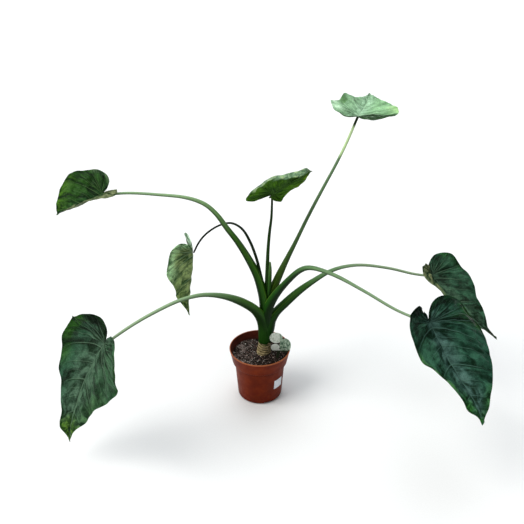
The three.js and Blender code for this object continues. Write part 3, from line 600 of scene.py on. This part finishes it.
# A leaf's colours: top is the left and right halves of its upper side, under its underside,
# heart the colour beside its midrib and how far that reaches, and vein its veins. glow is the
# light that passes through it and share how much of it does. Next comes how dark the painted
# shade in its hollows is, then ridge, how much paler the painted sheen makes its ridges, gloss,
# how much it shines, and below, how strong that painted shade and sheen are on its underside.
# patches are stretches of margin coloured apart, some in the leaf's own colour and some painted
# shade, sheen and highlight as marked at each leaf: the half (0 left, 1 right), the side veins
# they run between, how far they reach in from the margin, how strong they are (at 1 with a clear
# edge) and their colour.
LEAF_LOOKS = table(
    "top under heart vein glow share streak ridge gloss below patches",
    # front_left: the near-black patch is painted shade, and the heart colour a painted bluish
    # sheen
    ("front_left", ((16, 55, 22), (13, 50, 24)), (55, 120, 45), ((38, 85, 48), 55),
     (130, 230, 140), (50, 220, 10), 0.04, 1, (2500, 2100, 2300), 0.06, 0.45,
     [(1, 2.6, 5, 26, 1, (9, 60, 1)), (1, 3.6, 5.4, 44, 0.8, (16, 72, 6)),
      (1, 7.2, 9.9, 60, 1, (62, 150, 14)), (0, 7.2, 9.9, 80, 1, (62, 145, 22)),
      (0, 5.2, 7.4, 40, 0.8, (34, 95, 30)), (0, 2.6, 4.5, 16, 0.9, (10, 60, 6)),
      (1, 0, 2.6, 36, 1, (3, 16, 3))]),
    # right: the first, pale patch is painted sheen
    ("right", ((10, 40, 20), (20, 55, 24)), (55, 120, 45), ((20, 50, 28), 30), (80, 150, 90),
     (50, 180, 20), 0.03, 1, (2600, 2200, 2300), 0.06, 0.45,
     [(1, 2.3, 5.3, 48, 1, (130, 165, 75)), (0, 2.4, 4.2, 22, 0.8, (12, 65, 14)),
      (0, 7.5, 9.9, 60, 1, (22, 30, 14)), (1, 7.5, 9.9, 60, 1, (22, 30, 14))]),
    # front_right: the three darkest patches are painted shade, and the heart colour a painted
    # bluish sheen
    ("front_right", ((10, 43, 24), (13, 52, 28)), (45, 100, 40), ((26, 62, 50), 40),
     (60, 130, 100), (20, 120, 10), 0.02, 1, (2500, 2100, 2200), 0.03, 0.45,
     [(0, 0, 2.7, 34, 1, (2, 14, 4)), (0, 3.3, 4.3, 90, 1, (3, 18, 5)),
      (0, 2.9, 4.3, 32, 0.95, (10, 65, 3)), (0, 6.6, 9.9, 18, 0.8, (22, 85, 22)),
      (1, 6.8, 9.9, 34, 0.95, (14, 85, 10)), (1, 5, 6.6, 16, 0.9, (30, 100, 26)),
      (1, 1, 3.7, 36, 1, (1, 5, 1))]),
    # upper_left: the two pale patches are painted sheen
    ("upper_left", ((24, 65, 14), (14, 55, 8)), (55, 120, 35), ((12, 50, 14), 24), (80, 160, 50),
     (60, 240, 10), 0.05, 1, (1700, 1600, 1500), 0.06, 0.45,
     [(1, 4.6, 7.4, 30, 0.95, (50, 120, 6)), (1, 4.4, 7, 70, 0.6, (24, 85, 8)),
      (1, 1, 2.9, 18, 0.8, (95, 150, 85)), (0, 1.2, 7.4, 48, 1, (130, 160, 80))]),
    # upper_right: its pale colours are painted light shining through it from behind, and the
    # darkest patch is painted shade
    ("upper_right", ((270, 500, 270), (250, 490, 240)), (70, 150, 55), ((360, 600, 380), 30),
     (500, 740, 500), (350, 650, 250), 0.09, 0.5, (1250, 1200, 1250), 0.1, 0.45,
     [(0, 2.9, 4.4, 44, 0.9, (580, 860, 580)), (1, 3.9, 5.4, 30, 0.9, (480, 780, 330)),
      (1, 0.3, 3.75, 300, 1, (4, 35, 2)), (0, 4.8, 5.5, 22, 1, (100, 240, 80)),
      (0, 0.8, 2.4, 9, 1, (40, 100, 30))]),
    # back_left: its paler colours, above all its underside and pale patches, are partly its own
    # colour and partly painted highlight
    ("back_left", ((70, 140, 60), (100, 130, 70)), (200, 285, 100), ((100, 130, 45), 14),
     (260, 420, 240), (120, 300, 50), 0.05, 0.75, (2100, 2000, 2100), 0.06, 1.2,
     [(0, 0.6, 5.4, 40, 0.95, (340, 600, 300)), (0, 5.5, 7.4, 40, 0.7, (110, 200, 40)),
      (1, 0.3, 3, 60, 1, (360, 520, 360))]),
    # top: the two pale patches are painted sheen
    ("top", ((20, 62, 3), (19, 60, 2)), (25, 65, 15), ((12, 36, 4), 20), (22, 60, 8),
     (60, 240, 10), 0.02, 0.6, (1700, 1500, 1200), 0.03, 0.45,
     [(0, 3.3, 5.4, 15, 1, (200, 300, 190)), (0, 5.3, 9.9, 26, 1, (210, 340, 200)),
      (1, 4, 8, 14, 0.8, (40, 85, 6))]))


def leaf_material(name, look, upper):
    n = Nodes("leaf_%s_%s" % (name, "upper" if upper else "lower"))
    vein, t, pitch = n.attribute("vein")
    beside_rib, to_margin, along = n.attribute("spot")
    from_rib = n.math("ABSOLUTE", beside_rib)
    right = n.math("LESS_THAN", beside_rib, 0)
    left = n.math("SUBTRACT", 1, right)

    def line(number, thick):
        """Lines along the side veins, or also between them, and how far beside them one is."""
        count = n.times(vein, number)
        beside = n.times(n.math("SUBTRACT", count, n.math("ROUND", count)), pitch, 1 / number)
        edge = n.math("DIVIDE", n.math("ABSOLUTE", beside), n.fade(t, 0, 1, thick, thick * 0.5))
        return n.times(n.fade(edge, 1.2, 0.4), n.fade(to_margin, 0, 50, 0.15, 1.0)), beside

    def shadow(beside, away, half_width):
        """A painted shadow: a dark line this far beside each vein."""
        return n.times(n.fade(n.apart(beside, away), half_width, 0.3 * half_width),
                       n.fade(to_margin, 6, 34))

    # Side veins, the midrib, fainter veins between them, and finer ones that branch off
    side_vein, beside_vein = line(1, 1.6)
    between, beside_fine = line(2, 1.2)
    finer, _ = line(4, 1.0)
    mid_vein = n.times(n.fade(from_rib, 1.7, 0.6), n.fade(along, 0.0, 0.01, 0.6, 1.0))
    veins = n.most(side_vein, mid_vein, n.times(between, n.fade(pitch, 4, 14, 0.2, 0.75)),
                   n.times(finer, n.fade(pitch, 16, 34, 0.0, 0.6)))
    shadows = n.most(shadow(beside_vein, 3.0, 1.9), n.times(shadow(beside_fine, 2.2, 1.3), 0.6))
    branch = n.fade(n.cells(5.2, "DISTANCE_TO_EDGE"), 0.07, 0.0)
    net = n.fade(n.cells(1.7, "DISTANCE_TO_EDGE"), 0.12, 0.0)

    # Folds that run along the veins, and a swell between each two veins
    fanned = n.node("CombineXYZ", (n.times(vein, 2.9), n.times(t, 2.3), n.times(right, 7.3)))[0]
    folds = n.fade(n.noise(1.0, 4, 0.6, 0.6, fanned), 0.36, 0.64)
    ridge = n.math("SINE", n.times(n.math("FRACT", vein), math.pi))
    pattern = n.add(-0.3, (folds, 0.75), (ridge, 0.25), (n.noise(20, 3, 0.55), 0.6))
    # How strong the painted shade in the hollows and the painted sheen on the ridges are on this
    # face
    strength_here = 1.0 if upper else look["below"]
    contrast = look["streak"] * strength_here

    # Colour: heart and margin patches, painted shade in the hollows, painted sheen on the ridges,
    # painted shadows beside the veins, paler veins and a pale rim
    first, second = look["top"] if upper else (look["under"],) * 2
    heart, reach = look["heart"]
    in_heart = n.fade(from_rib, reach, reach * 0.1, 0.0, 0.9 if upper else 0.4)
    colour = n.mix(first, (second, right), (heart, in_heart))
    lumpy = n.fade(n.noise(30), 0.3, 0.62, 0.4, 1.0)
    for half, low, high, reach, strength, tint in look["patches"]:
        clear = strength == 1
        inner = reach * (0.8 if clear else 0.1)
        colour = n.mix(colour, (
            tint, n.fade(to_margin, reach, inner, 0.0, strength),
            n.fade(vein, low - 0.3, low + 0.3), n.fade(vein, high + 0.3, high - 0.3),
            right if half else left, 1.0 if clear else lumpy))
    # Painted shade in the hollows, painted sheen on the ridges, random grain and painted shadows
    # beside the veins
    colour = n.dye(
        colour, ((60, 200, 80), n.fade(pattern, 0.55, 0.1), contrast),
        (look["ridge"], n.fade(pattern, 0.5, 0.95, 0.0, min(1.0, strength_here))),
        (n.fade(n.noise(2.3), 0.3, 0.7, 0.75, 1.25), 1.0),
        ((150, 300, 150), shadows, 0.85 * contrast))
    colour = n.mix(
        colour, (look["vein"], branch, 0.12), (look["vein"], net, 0.05),
        (look["vein"], veins, 0.7 if upper else 0.45),
        ((120, 180, 50), n.fade(to_margin, 0.6, 0.1), 0.3))

    # Relief: raised veins below, sunken above, and a pebbled skin between them
    veined = n.times(n.add(veins, (branch, 0.4)), -1.0 if upper else 1.0)
    relief = [(veined, 0.45), (n.noise(1.1, 2), 0.06), (pattern, 2.6), (n.noise(8, 3, 0.55), 1.4)]
    more = 0.0 if upper else 0.12
    rough = n.most(n.fade(n.noise(7), 0.3, 0.7, 0.28 + more, 0.44 + more),
                   n.fade(to_margin, 14, 5, 0.0, 0.85))
    return n.finish(colour, rough, look["gloss"], relief, look["glow"], look["share"])


# A stalk's looks: where its open sheath ends and over what length it closes, how many facets it
# has, how dark the painted shade on its underside is, and its colours from its foot (0) to its
# blade (1), some of them painted light and shade as marked.
STALK_LOOKS = table(
    "sheath fade facets below stops",
    ("front_left", 0.5, 0.12, 5, 0.9, [(0, 14, 75, 4), (0.25, 24, 100, 6), (0.42, 50, 140, 20),
     (0.55, 150, 270, 117), (0.75, 260, 390, 215), (1, 290, 400, 235)]),
    ("right", 0.45, 0.1, 6, 0.9, [(0, 8, 50, 3), (0.3, 14, 65, 5), (0.45, 35, 110, 18),
     (0.58, 130, 250, 110), (0.75, 280, 400, 230), (1, 330, 440, 270)]),
    ("front_right", 0.42, 0.04, 5, 0.9, [(0, 10, 60, 3), (0.3, 14, 70, 6), (0.46, 30, 100, 22),
     (0.58, 100, 205, 77), (0.8, 205, 325, 170), (1, 250, 360, 205)]),
    ("upper_left", 0.5, 0.15, 5, 0.9, [(0, 14, 75, 4), (0.3, 22, 95, 5), (0.5, 35, 110, 12),
     (0.62, 140, 270, 90), (0.8, 250, 390, 200), (1, 200, 330, 170)]),
    # upper_right: the pale band near the blade is a painted highlight, and the dark end a painted
    # shadow
    ("upper_right", 0.35, 0.1, 4, 0.35, [(0, 35, 85, 4), (0.28, 40, 90, 5), (0.45, 45, 100, 25),
     (0.855, 140, 240, 120), (0.875, 500, 700, 340), (0.965, 620, 820, 420), (0.975, 30, 55, 22),
     (1, 12, 22, 10)]),
    # back_left and top darken almost to black towards their blades: painted shade
    ("back_left", 0.3, 0.1, 4, 0.3, [(0, 10, 40, 5), (0.3, 8, 20, 6), (1, 8, 12, 7)]),
    ("top", 0.3, 0.1, 4, 0.3, [(0, 14, 60, 5), (0.5, 14, 45, 6), (1, 10, 22, 6)]),
    ("spear", 0.1, 0.05, 3, 0.3, [(0, 15, 70, 5), (0.6, 35, 110, 16), (1, 100, 200, 60)]))


def stalk_material(name, look):
    n = Nodes("stalk_" + name)
    t, around, run = n.attribute("stalk")
    lines = n.node("CombineXYZ", (n.times(around, 6), n.times(run, 0.02), n.times(around, 1.3)))[0]
    streaks, mottle = n.noise(1.0, at=lines), n.noise(6)
    # Painted shade darkens the underside, less near the foot
    underside_shade = n.fade(around, 1.1, 2.1), n.fade(run, 20, 75, 0.4, 1.0)
    colour = n.dye(n.ramp(t, *look["stops"]),
                   ((500, 500, 500), n.fade(streaks, 0.35, 0.65, 0.0, 0.4)),
                   ((1500, 1450, 1200), n.fade(mottle, 0.5, 0.75, 0.0, 0.35)),
                   ((100, 160, 80), *underside_shade, look["below"]))

    # The sheath's dry margins are paler, partly their own colour and partly a painted highlight
    # along their ridges, and dark specks lie over all
    in_sheath = n.fade(t, look["sheath"], look["sheath"] - look["fade"])
    colour = n.mix(colour,
                   ((100, 210, 20), n.fade(n.apart(around, 0.8), 0.17, 0.03), in_sheath, 0.5),
                   ((20, 40, 15), n.fade(n.cells(3.1), 0.12, 0.05), 0.35))
    return n.finish(colour, n.fade(mottle, 0.3, 0.7, 0.42, 0.56), 0.08,
                    [(streaks, 0.35), (n.noise(1.3, 2), 0.05)])


# Stem, pot and soil

POT = Sizes(height=126.5, rim=70, foot=51, wall=1.7, floor=2.6, corner=6, hollow=1.2,
            foot_ring=(40, 41.5), band_foot=93, band_radius=63, wall_top=89.5, wall_radius=57.5,
            lip=2.2, lip_out=0.9, band=2.3, rounding=0.9, sides=176)
SLOTS = Sizes(count=4, first=22, width=20, height=4.4, rounding=1.6, reach=(43, 59))
SOIL = Sizes(level=107, roll=1.6, lengths=(21, 17), sides=220, steps=74, around_stem=17)
STEM = Sizes(bottom=62, bark_top=141, top=214, soil_radius=16.2, bark_radius=13.4, core=10.5,
             core_top=3, pitch=6.5, scar=1.1, tilt=2.4, turn=9)


def stem():
    """A leaning stump ringed by leaf scars, and the slim core that goes up into the sheaths."""
    top = STEM.bark_top, STEM.bark_top + 2, 170, STEM.top
    z = np.concatenate([np.arange(STEM.bottom, STEM.bark_top, 0.7), top])
    rise = np.interp(z, (SOIL.level, STEM.bark_top), (0, 1))[:, None]
    bark = STEM.soil_radius + (STEM.bark_radius - STEM.soil_radius) * rise
    core = np.interp(z, (STEM.bark_top, STEM.top), (STEM.core, STEM.core_top))[:, None]
    a, zz = np.meshgrid(circle(72), z)
    part = (zz + STEM.tilt * np.cos(a + zz / STEM.turn)) / STEM.pitch % 1
    scar = STEM.scar * (0.5 - part) * smooth(part, 0, 0.12)
    around = rings_about_z(12, zz * 0.6, a)
    rough = 0.35 * undulation(around, 9, 3) + 0.2 * undulation(around, 3.4, 4)
    radius = np.where(zz > STEM.bark_top, core, bark + scar + rough - 0.3)
    middle = STEM_FOOT + (STEM_AXIS - STEM_FOOT) * rise
    points, triangles = closed_rings(middle[:, None] + rings_about_z(radius, zz, a))
    return mesh_object("stem_bark", into_box(points, "stem"), triangles)


def inner_radius(z):
    if z > POT.band_foot:
        return np.interp(z, (POT.band_foot, POT.height),
                         (POT.band_radius - POT.wall, POT.rim - POT.band))
    return np.interp(z, (0, POT.wall_top), (POT.foot, POT.wall_radius)) - POT.wall


def rounded(profile, radius, steps=4):
    """A profile whose corners are rounded by short arcs."""
    p = np.asarray(profile, float)
    out = [p[0]]
    for before, corner, after in zip(p[:-2], p[1:-1], p[2:]):
        one, two = before - corner, after - corner
        cut = min(radius, 0.42 * norm(one), 0.42 * norm(two))
        start, end = corner + unit(one) * cut, corner + unit(two) * cut
        for s in np.linspace(0, 1, steps + 1):
            out.append((1 - s) ** 2 * start + 2 * s * (1 - s) * corner + s * s * end)
    return np.array([*out, p[-1]])


def slot_cutter(azimuth):
    """A long block with rounded edges, lying across the pot's foot."""
    half, tall, soft = SLOTS.width / 2, SLOTS.height, SLOTS.rounding
    top = [(half + soft * (math.cos(a) - 1), tall + soft * (math.sin(a) - 1))
           for a in np.linspace(0, math.pi / 2, 5)]
    outline = [(half, -1), *top, *((-y, z) for y, z in reversed(top)), (-half, -1)]
    rings = np.array([[(x, y, z) for y, z in outline] for x in SLOTS.reach], float)
    ways = np.array([level_way(azimuth), level_way(azimuth + 90), UP])
    return mesh_object("cutter", *closed_rings(rings @ ways), flat=True)


def pot():
    """A thin moulded shell, turned from its profile, with slots cut in the corner of its foot."""
    corner = [(POT.foot - POT.corner * (1 - math.sin(a)), POT.corner * (1 - math.cos(a)))
              for a in np.linspace(0, math.pi / 2, 7)]
    rim, top, lip, band = POT.rim, POT.height, POT.height - POT.lip, POT.band_foot
    inner_edge = rim - POT.band, top
    outline = rounded([
        (0.01, POT.hollow), (POT.foot_ring[0], POT.hollow), (POT.foot_ring[1], 0), *corner,
        (POT.wall_radius, POT.wall_top), (POT.band_radius - 1, band - 1.2),
        (POT.band_radius, band), (rim - POT.lip_out, lip - 1), (rim, lip), (rim, top - 0.5),
        (rim - 0.5, top), inner_edge, (inner_radius(band + 1), band + 1),
        (inner_radius(POT.wall_top), POT.wall_top + 1), (inner_radius(6), 6),
        (inner_radius(0) - 3, POT.floor), (0.01, POT.floor)], POT.rounding)
    r, z = outline.T[..., None]
    points, triangles = closed_rings(rings_about_z(r, z, circle(POT.sides)))
    first_inner = np.argmin(np.abs(outline - inner_edge).sum(1))
    inner = (triangles.min(1) // POT.sides >= first_inner) & (points[triangles[:, 0], 2] > 2)
    made = mesh_object("pot_shell", into_box(points, "pot"), triangles, inner)
    for k in range(SLOTS.count):
        cutter = slot_cutter(SLOTS.first - 90 + 360 * k / SLOTS.count)
        cut = made.modifiers.new("slot", "BOOLEAN")
        cut.object, cut.operation, cut.solver = cutter, "DIFFERENCE", "EXACT"
        bpy.context.view_layer.update()
        seen = made.evaluated_get(bpy.context.evaluated_depsgraph_get())
        done = bpy.data.meshes.new_from_object(seen)
        made.modifiers.clear()
        made.data = done
        bpy.data.objects.remove(cutter)
    return made


def ball():
    """A unit icosahedron, and the same with each of its triangles in four."""
    g = (1 + math.sqrt(5)) / 2
    pairs = [(x, y) for y in (g, -g) for x in (-1, 1)]
    points = [(x, y, 0) for x, y in pairs] + [(0, x, y) for x, y in pairs]
    points = unit(np.array(points + [(y, 0, x) for x, y in pairs]))
    faces = np.array([
        (0, 11, 5), (0, 5, 1), (0, 1, 7), (0, 7, 10), (0, 10, 11), (1, 5, 9), (5, 11, 4),
        (11, 10, 2), (10, 7, 6), (7, 1, 8), (3, 9, 4), (3, 4, 2), (3, 2, 6), (3, 6, 8),
        (3, 8, 9), (4, 9, 5), (2, 4, 11), (6, 2, 10), (8, 6, 7), (9, 8, 1)])
    edges = np.sort(faces[:, [[0, 1], [1, 2], [2, 0]]], -1).reshape(-1, 2)
    edges, number = np.unique(edges, axis=0, return_inverse=True)
    a, b, c = faces.T
    ab, bc, ca = number.reshape(-1, 3).T + len(points)
    finer = gather((a, ab, ca), (b, bc, ab), (c, ca, bc), (ab, bc, ca))
    return (points, faces), (np.vstack([points, unit(points[edges].sum(1))]), finer)


BALLS = ball()

# What lies on the soil: how many tries, sizes, flatness, which ball, which material (soil,
# perlite or bark), how far it stands out, and how much rarer it is on the right
CRUMBS = ((1900, (0.7, 2.0), (0.6, 1.0), 0, 0, 0.25, 0.0),
          (150, (2.0, 3.6), (0.4, 0.8), 1, 0, 0.2, 0.0),
          (620, (0.4, 1.0), (0.6, 1.0), 0, 1, 0.6, 0.5),
          (26, (1.0, 1.6), (0.7, 1.0), 1, 1, 0.5, 0.5),
          (620, (0.5, 1.5), (0.3, 0.6), 0, 2, 0.5, 0.4))


def lump(random, size, flat, detail):
    """A rough pebble: an icosphere whose corners are moved in and out."""
    points, triangles = BALLS[detail]
    rough = 1 + 0.22 * undulation(points * 1.4, 2.2, int(random.integers(1e6)), 4)
    shape = points * rough[:, None] * size * np.array([1, random.uniform(0.6, 1), flat])
    x, other, _ = unit(random.normal(size=(3, 3)))
    y = unit(np.cross(other, x))
    return shape @ np.array([x, y, np.cross(x, y)]), triangles


def soil_height(x, y):
    first, second = SOIL.lengths
    return SOIL.level + SOIL.roll * np.sin(x / first + 1) * np.cos(y / second)


def soil():
    """A crumbly surface inside the pot, with loose crumbs, white perlite and bits of bark."""
    random = np.random.default_rng(5)
    outer = inner_radius(105) - 0.3
    wall = [(inner_radius(0) - 3.3, POT.floor + 0.4), (inner_radius(6) - 0.3, 6),
            (inner_radius(89) - 0.3, 91), (inner_radius(95) - 0.3, 95), (outer, 104)]
    top = [(outer * s, 0) for s in np.linspace(1, 0.02, SOIL.steps)]
    r, z = np.array(wall + top).T[..., None]
    rings = rings_about_z(r, z, circle(SOIL.sides))
    flat = rings * (1, 1, 0)
    rough = (0.8 * undulation(flat, 13, 21) + 0.6 * undulation(flat, 5.5, 22)
             + 0.45 * undulation(flat, 2.6, 23) + random.normal(0, 0.12, flat.shape[:2]))
    surface = soil_height(flat[..., 0], flat[..., 1]) + rough - 0.5
    rings[len(wall):, :, 2] = surface[len(wall):]
    points, triangles = closed_rings(rings)
    parts, faces, numbers = [points], [triangles], [0] * len(triangles)
    count = len(points)
    for amount, sizes, flats, detail, number, out, rarer in CRUMBS:
        for _ in range(amount):
            reach = outer * math.sqrt(random.uniform(0.0, 0.96))
            turn = random.uniform(0, TURN)
            x, y = reach * math.cos(turn), reach * math.sin(turn)
            by_stem = math.hypot(x - 9, y - 8) < SOIL.around_stem
            if by_stem or random.uniform() < rarer * (x + 40) / 110:
                continue
            size = random.uniform(*sizes)
            shape, tris = lump(random, size, random.uniform(*flats), detail)
            parts.append(shape + (x, y, soil_height(x, y) - 0.4 + out * size))
            faces.append(tris + count)
            numbers += [number] * len(tris)
            count += len(shape)
    points = into_box(np.vstack(parts), "soil")
    return mesh_object("soil_surface", points, np.concatenate(faces), numbers)


def bark_material():
    n = Nodes("bark")
    x, _, height = n.xyz()
    slanted = n.add(height, (x, 0.16), (n.noise(7, at=n.place(0.35, 0.35, 1)), 7.0))
    ring, fine = (n.math("ABSOLUTE", n.math("SINE", n.times(slanted, math.pi / spacing)))
                  for spacing in (6.4, 1.9))
    fibres = n.noise(1.4, 3, 0.7, at=n.place(1.6, 1.6, 0.25))
    blotch = n.noise(6)
    colour = n.ramp(blotch, (0.3, 240, 180, 75), (0.5, 430, 340, 170), (0.7, 620, 520, 320))
    colour = n.mix(colour, ((80, 50, 20), n.fade(fine, 0.35, 0.0, 0.0, 0.45)),
                   ((22, 14, 6), n.fade(ring, 0.62, 0.2, 0.0, 0.92)),
                   ((50, 32, 14), n.fade(fibres, 0.5, 0.75, 0.0, 0.5)),
                   ((40, 90, 15), n.fade(height, 126, 140), n.fade(blotch, 0.6, 0.35)))
    return n.finish(colour, 0.78, 0.15, [(ring, 0.9), (fibres, 0.35)])


def pot_materials():
    n = Nodes("moulded_plastic")
    x, y, z = n.xyz()
    lathed = n.noise(1.6, 2, 0.5, at=n.place(0.05, 0.05, 1))
    scuffs = n.fade(n.noise(3.4, 4, 0.7, at=n.place(0.4, 0.4, 1.5)), 0.62, 0.72)
    blotch = n.noise(9, 4, 0.65)
    radius = n.math("SQRT", n.add(n.times(x, x), (y, y)))
    colour = n.ramp(n.noise(26, 4), (0.3, 95, 9, 1), (0.5, 135, 14, 1.2), (0.7, 175, 21, 1.8))

    # Dark blotches near the foot, a painted highlight along the lip's top edge, painted shade
    # under the band, and scuffs
    colour = n.mix(
        colour, ((100, 6, 2), n.fade(z, 66, 12), n.fade(blotch, 0.42, 0.66, 0.0, 0.7)),
        ((450, 150, 60), n.fade(z, 123.4, 124.4), n.fade(radius, 67.3, 68.4), 0.6),
        ((50, 6, 2), n.fade(z, 84, 89), n.fade(z, 93.2, 92.4), 0.6),
        ((400, 200, 120), scuffs, n.fade(z, 30, 6), 0.4))
    outside = n.finish(colour, n.fade(blotch, 0.3, 0.7, 0.4, 0.54), 0.07,
                       [(lathed, 0.06), (n.noise(0.8, 2), 0.03)])
    # The inside is darker than the outside: painted shade inside the pot, with soil dust low down
    n = Nodes("moulded_plastic_inside")
    dusty = n.fade(n.xyz()[2], 114, 107), n.fade(n.noise(3, 3, 0.7), 0.45, 0.65), 0.6
    colour = n.mix(n.ramp(n.noise(14), (0.3, 50, 6, 3), (0.7, 120, 18, 8)),
                   ((50, 35, 26), *dusty))
    return outside, n.finish(colour, 0.5, 0.3, [(n.noise(1.2, 2), 0.05)])


def soil_materials():
    n = Nodes("soil_crumbs")
    grain = n.noise(2.2, 4, 0.7)
    # Painted light: pale patches, stronger towards the left where the light falls
    pale = n.fade(n.xyz()[0], 5, -50), n.fade(n.noise(14), 0.42, 0.62), 0.75
    colour = n.ramp(grain, (0.3, 3, 2, 1.5), (0.5, 12, 8, 6),
                    (0.62, 50, 36, 28), (0.74, 170, 130, 110))
    colour = n.mix(colour, ((200, 160, 145), *pale))
    colour = n.dye(colour, (n.fade(n.noise(4.5, 3, 0.7), 0.38, 0.6, 0.3, 1.8), 1.0))
    crumbs = n.finish(colour, 0.93, 0.08, [(grain, 1.0)])
    n = Nodes("perlite")
    pores = n.cells(0.8)
    colour = n.mix((860, 840, 800), ((600, 560, 500), n.fade(pores, 0.2, 0.5)))
    perlite = n.finish(colour, 0.85, 0.3, [(pores, 0.3)])
    n = Nodes("bark_chips")
    fibres = n.noise(1.2, at=n.place(0.4, 1.6, 1.6))
    colour = n.ramp(fibres, (0.3, 130, 60, 45), (0.55, 340, 220, 190), (0.75, 550, 420, 390))
    return crumbs, perlite, n.finish(colour, 0.8, 0.3, [(fibres, 0.4)])


def card_material():
    n = Nodes("printed_card")
    x, _, z = n.xyz()
    leafy = n.noise(6.0, 3, 0.65, 1.4, n.place(1, 1, 0.6))
    marks = n.fade(n.noise(4.6, 3, 0.6, 1.0, n.place(1.6, 1, 0.9)), 0.5, 0.62)
    specks = n.fade(n.cells(2.8), 0.36, 0.22)
    printed = n.ramp(leafy, (0.34, 35, 75, 45), (0.46, 120, 200, 130),
                     (0.56, 300, 400, 290), (0.7, 550, 640, 520))
    printed = n.mix(printed, ((720, 760, 700), specks, n.fade(z, 141, 130), 0.85))
    plain = n.mix((600, 640, 570), ((220, 280, 180), marks, 0.75))
    band = n.mix((600, 630, 570), ((340, 390, 320), marks, 0.35))
    colour = n.mix(plain, (printed, n.fade(x, 44.5, 46.5)),
                   (band, n.fade(z, 150, 148), n.fade(x, 45.5, 44.5), 0.9),
                   ((25, 35, 18), n.fade(z, 131, 129)))
    return n.finish(colour, n.fade(leafy, 0.3, 0.7, 0.35, 0.5), 0.25, [(n.noise(0.6, 2), 0.02)])


def paper_material():
    n = Nodes("blank_paper")
    soft = n.fade(n.noise(7, 3, 0.5), 0.35, 0.65, 0.0, 0.6)
    colour = n.mix((740, 780, 820), ((620, 660, 720), soft))
    return n.finish(colour, 0.55, 0.4, [(n.noise(0.9, 3, 0.7), 0.03)])


# The plant

for number, (name, leaf) in enumerate(LEAVES.items()):
    look = LEAF_LOOKS[name]
    dress(blade(name, leaf, 100 + 10 * number), "blade_" + name, "leaf",
          leaf_material(name, look, True), leaf_material(name, look, False))
    node, look = "petiole_" + name, STALK_LOOKS[name]
    dress(stalk("stalk_" + name, node, leaf, seat_under(leaf), stalk_section, look), node, "stalk",
          stalk_material(name, look))
look = STALK_LOOKS["spear"]
dress(stalk("rolled_leaf", "spear", SPEAR, np.zeros(3), spear_section, look), "spear", "stalk",
      stalk_material("spear", look))
dress(stem(), "stem", "bark", bark_material())
dress(pot(), "pot", "pot", *pot_materials())
dress(soil(), "soil", "soil", *soil_materials())
for node, material in (("care_tag", card_material()), ("sticker", paper_material())):
    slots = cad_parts[node].data.materials
    if len(slots):
        slots[0] = material
    else:
        slots.append(material)


# Floor, light and camera

def floor():
    """A wide pale sheet just under the pot."""
    radii, sides, z = (9000, 3000, 1000, 300), 64, -0.2
    rings = rings_about_z(np.array(radii)[:, None], z, circle(sides))
    points = np.vstack([rings.reshape(-1, 3), (0, 0, z)])
    last = np.arange(sides) + (len(radii) - 1) * sides
    triangles = np.concatenate([join_rings(len(radii), sides), fan(last, len(points) - 1)])
    made = mesh_object("floor", points, triangles)
    n = Nodes("pale_floor")
    grain = n.fade(n.noise(3, 2, 0.5), 0.3, 0.7)
    colour = n.mix((820, 820, 820), ((840, 840, 840), grain))
    made.data.materials.append(n.finish(colour, 0.9, 0.1))


def sun(name, azimuth, elevation, strength, spread, colour):
    light = bpy.data.lights.new(name, "SUN")
    light.energy, light.angle, light.color = strength, math.radians(spread), colour
    made = bpy.data.objects.new(name, light)
    bpy.context.scene.collection.objects.link(made)
    towards, _ = turned(level_way(azimuth), UP, math.radians(elevation))
    made.rotation_euler = Vector(towards).to_track_quat("Z", "Y").to_euler()


floor()
sun("window_left", 200, 50, 2.4, 40, (1.0, 0.99, 0.96))
sun("window_back", 95, 62, 1.7, 60, (0.93, 0.97, 1.0))
sun("window_front", -60, 70, 0.4, 70, (1.0, 1.0, 1.0))

scene = bpy.context.scene
scene.world = bpy.data.worlds.new("pale_room")
scene.world.use_nodes = True
light = scene.world.node_tree.nodes["Background"].inputs
light[0].default_value, light[1].default_value = (0.93, 0.97, 1.0, 1), 0.22
scene.view_settings.view_transform = "Standard"

# The photo's camera looks down by this many degrees
LOOK_DOWN = 31.4
camera = bpy.data.cameras.new("photo_view")
camera.lens, camera.sensor_width, camera.clip_end = 67.5, 36, 50
holder = bpy.data.objects.new("photo_view", camera)
holder.location = (0.005, -1.83, 1.474)
holder.rotation_euler = (math.radians(90 - LOOK_DOWN), 0, 0)
scene.collection.objects.link(holder)
scene.camera = holder
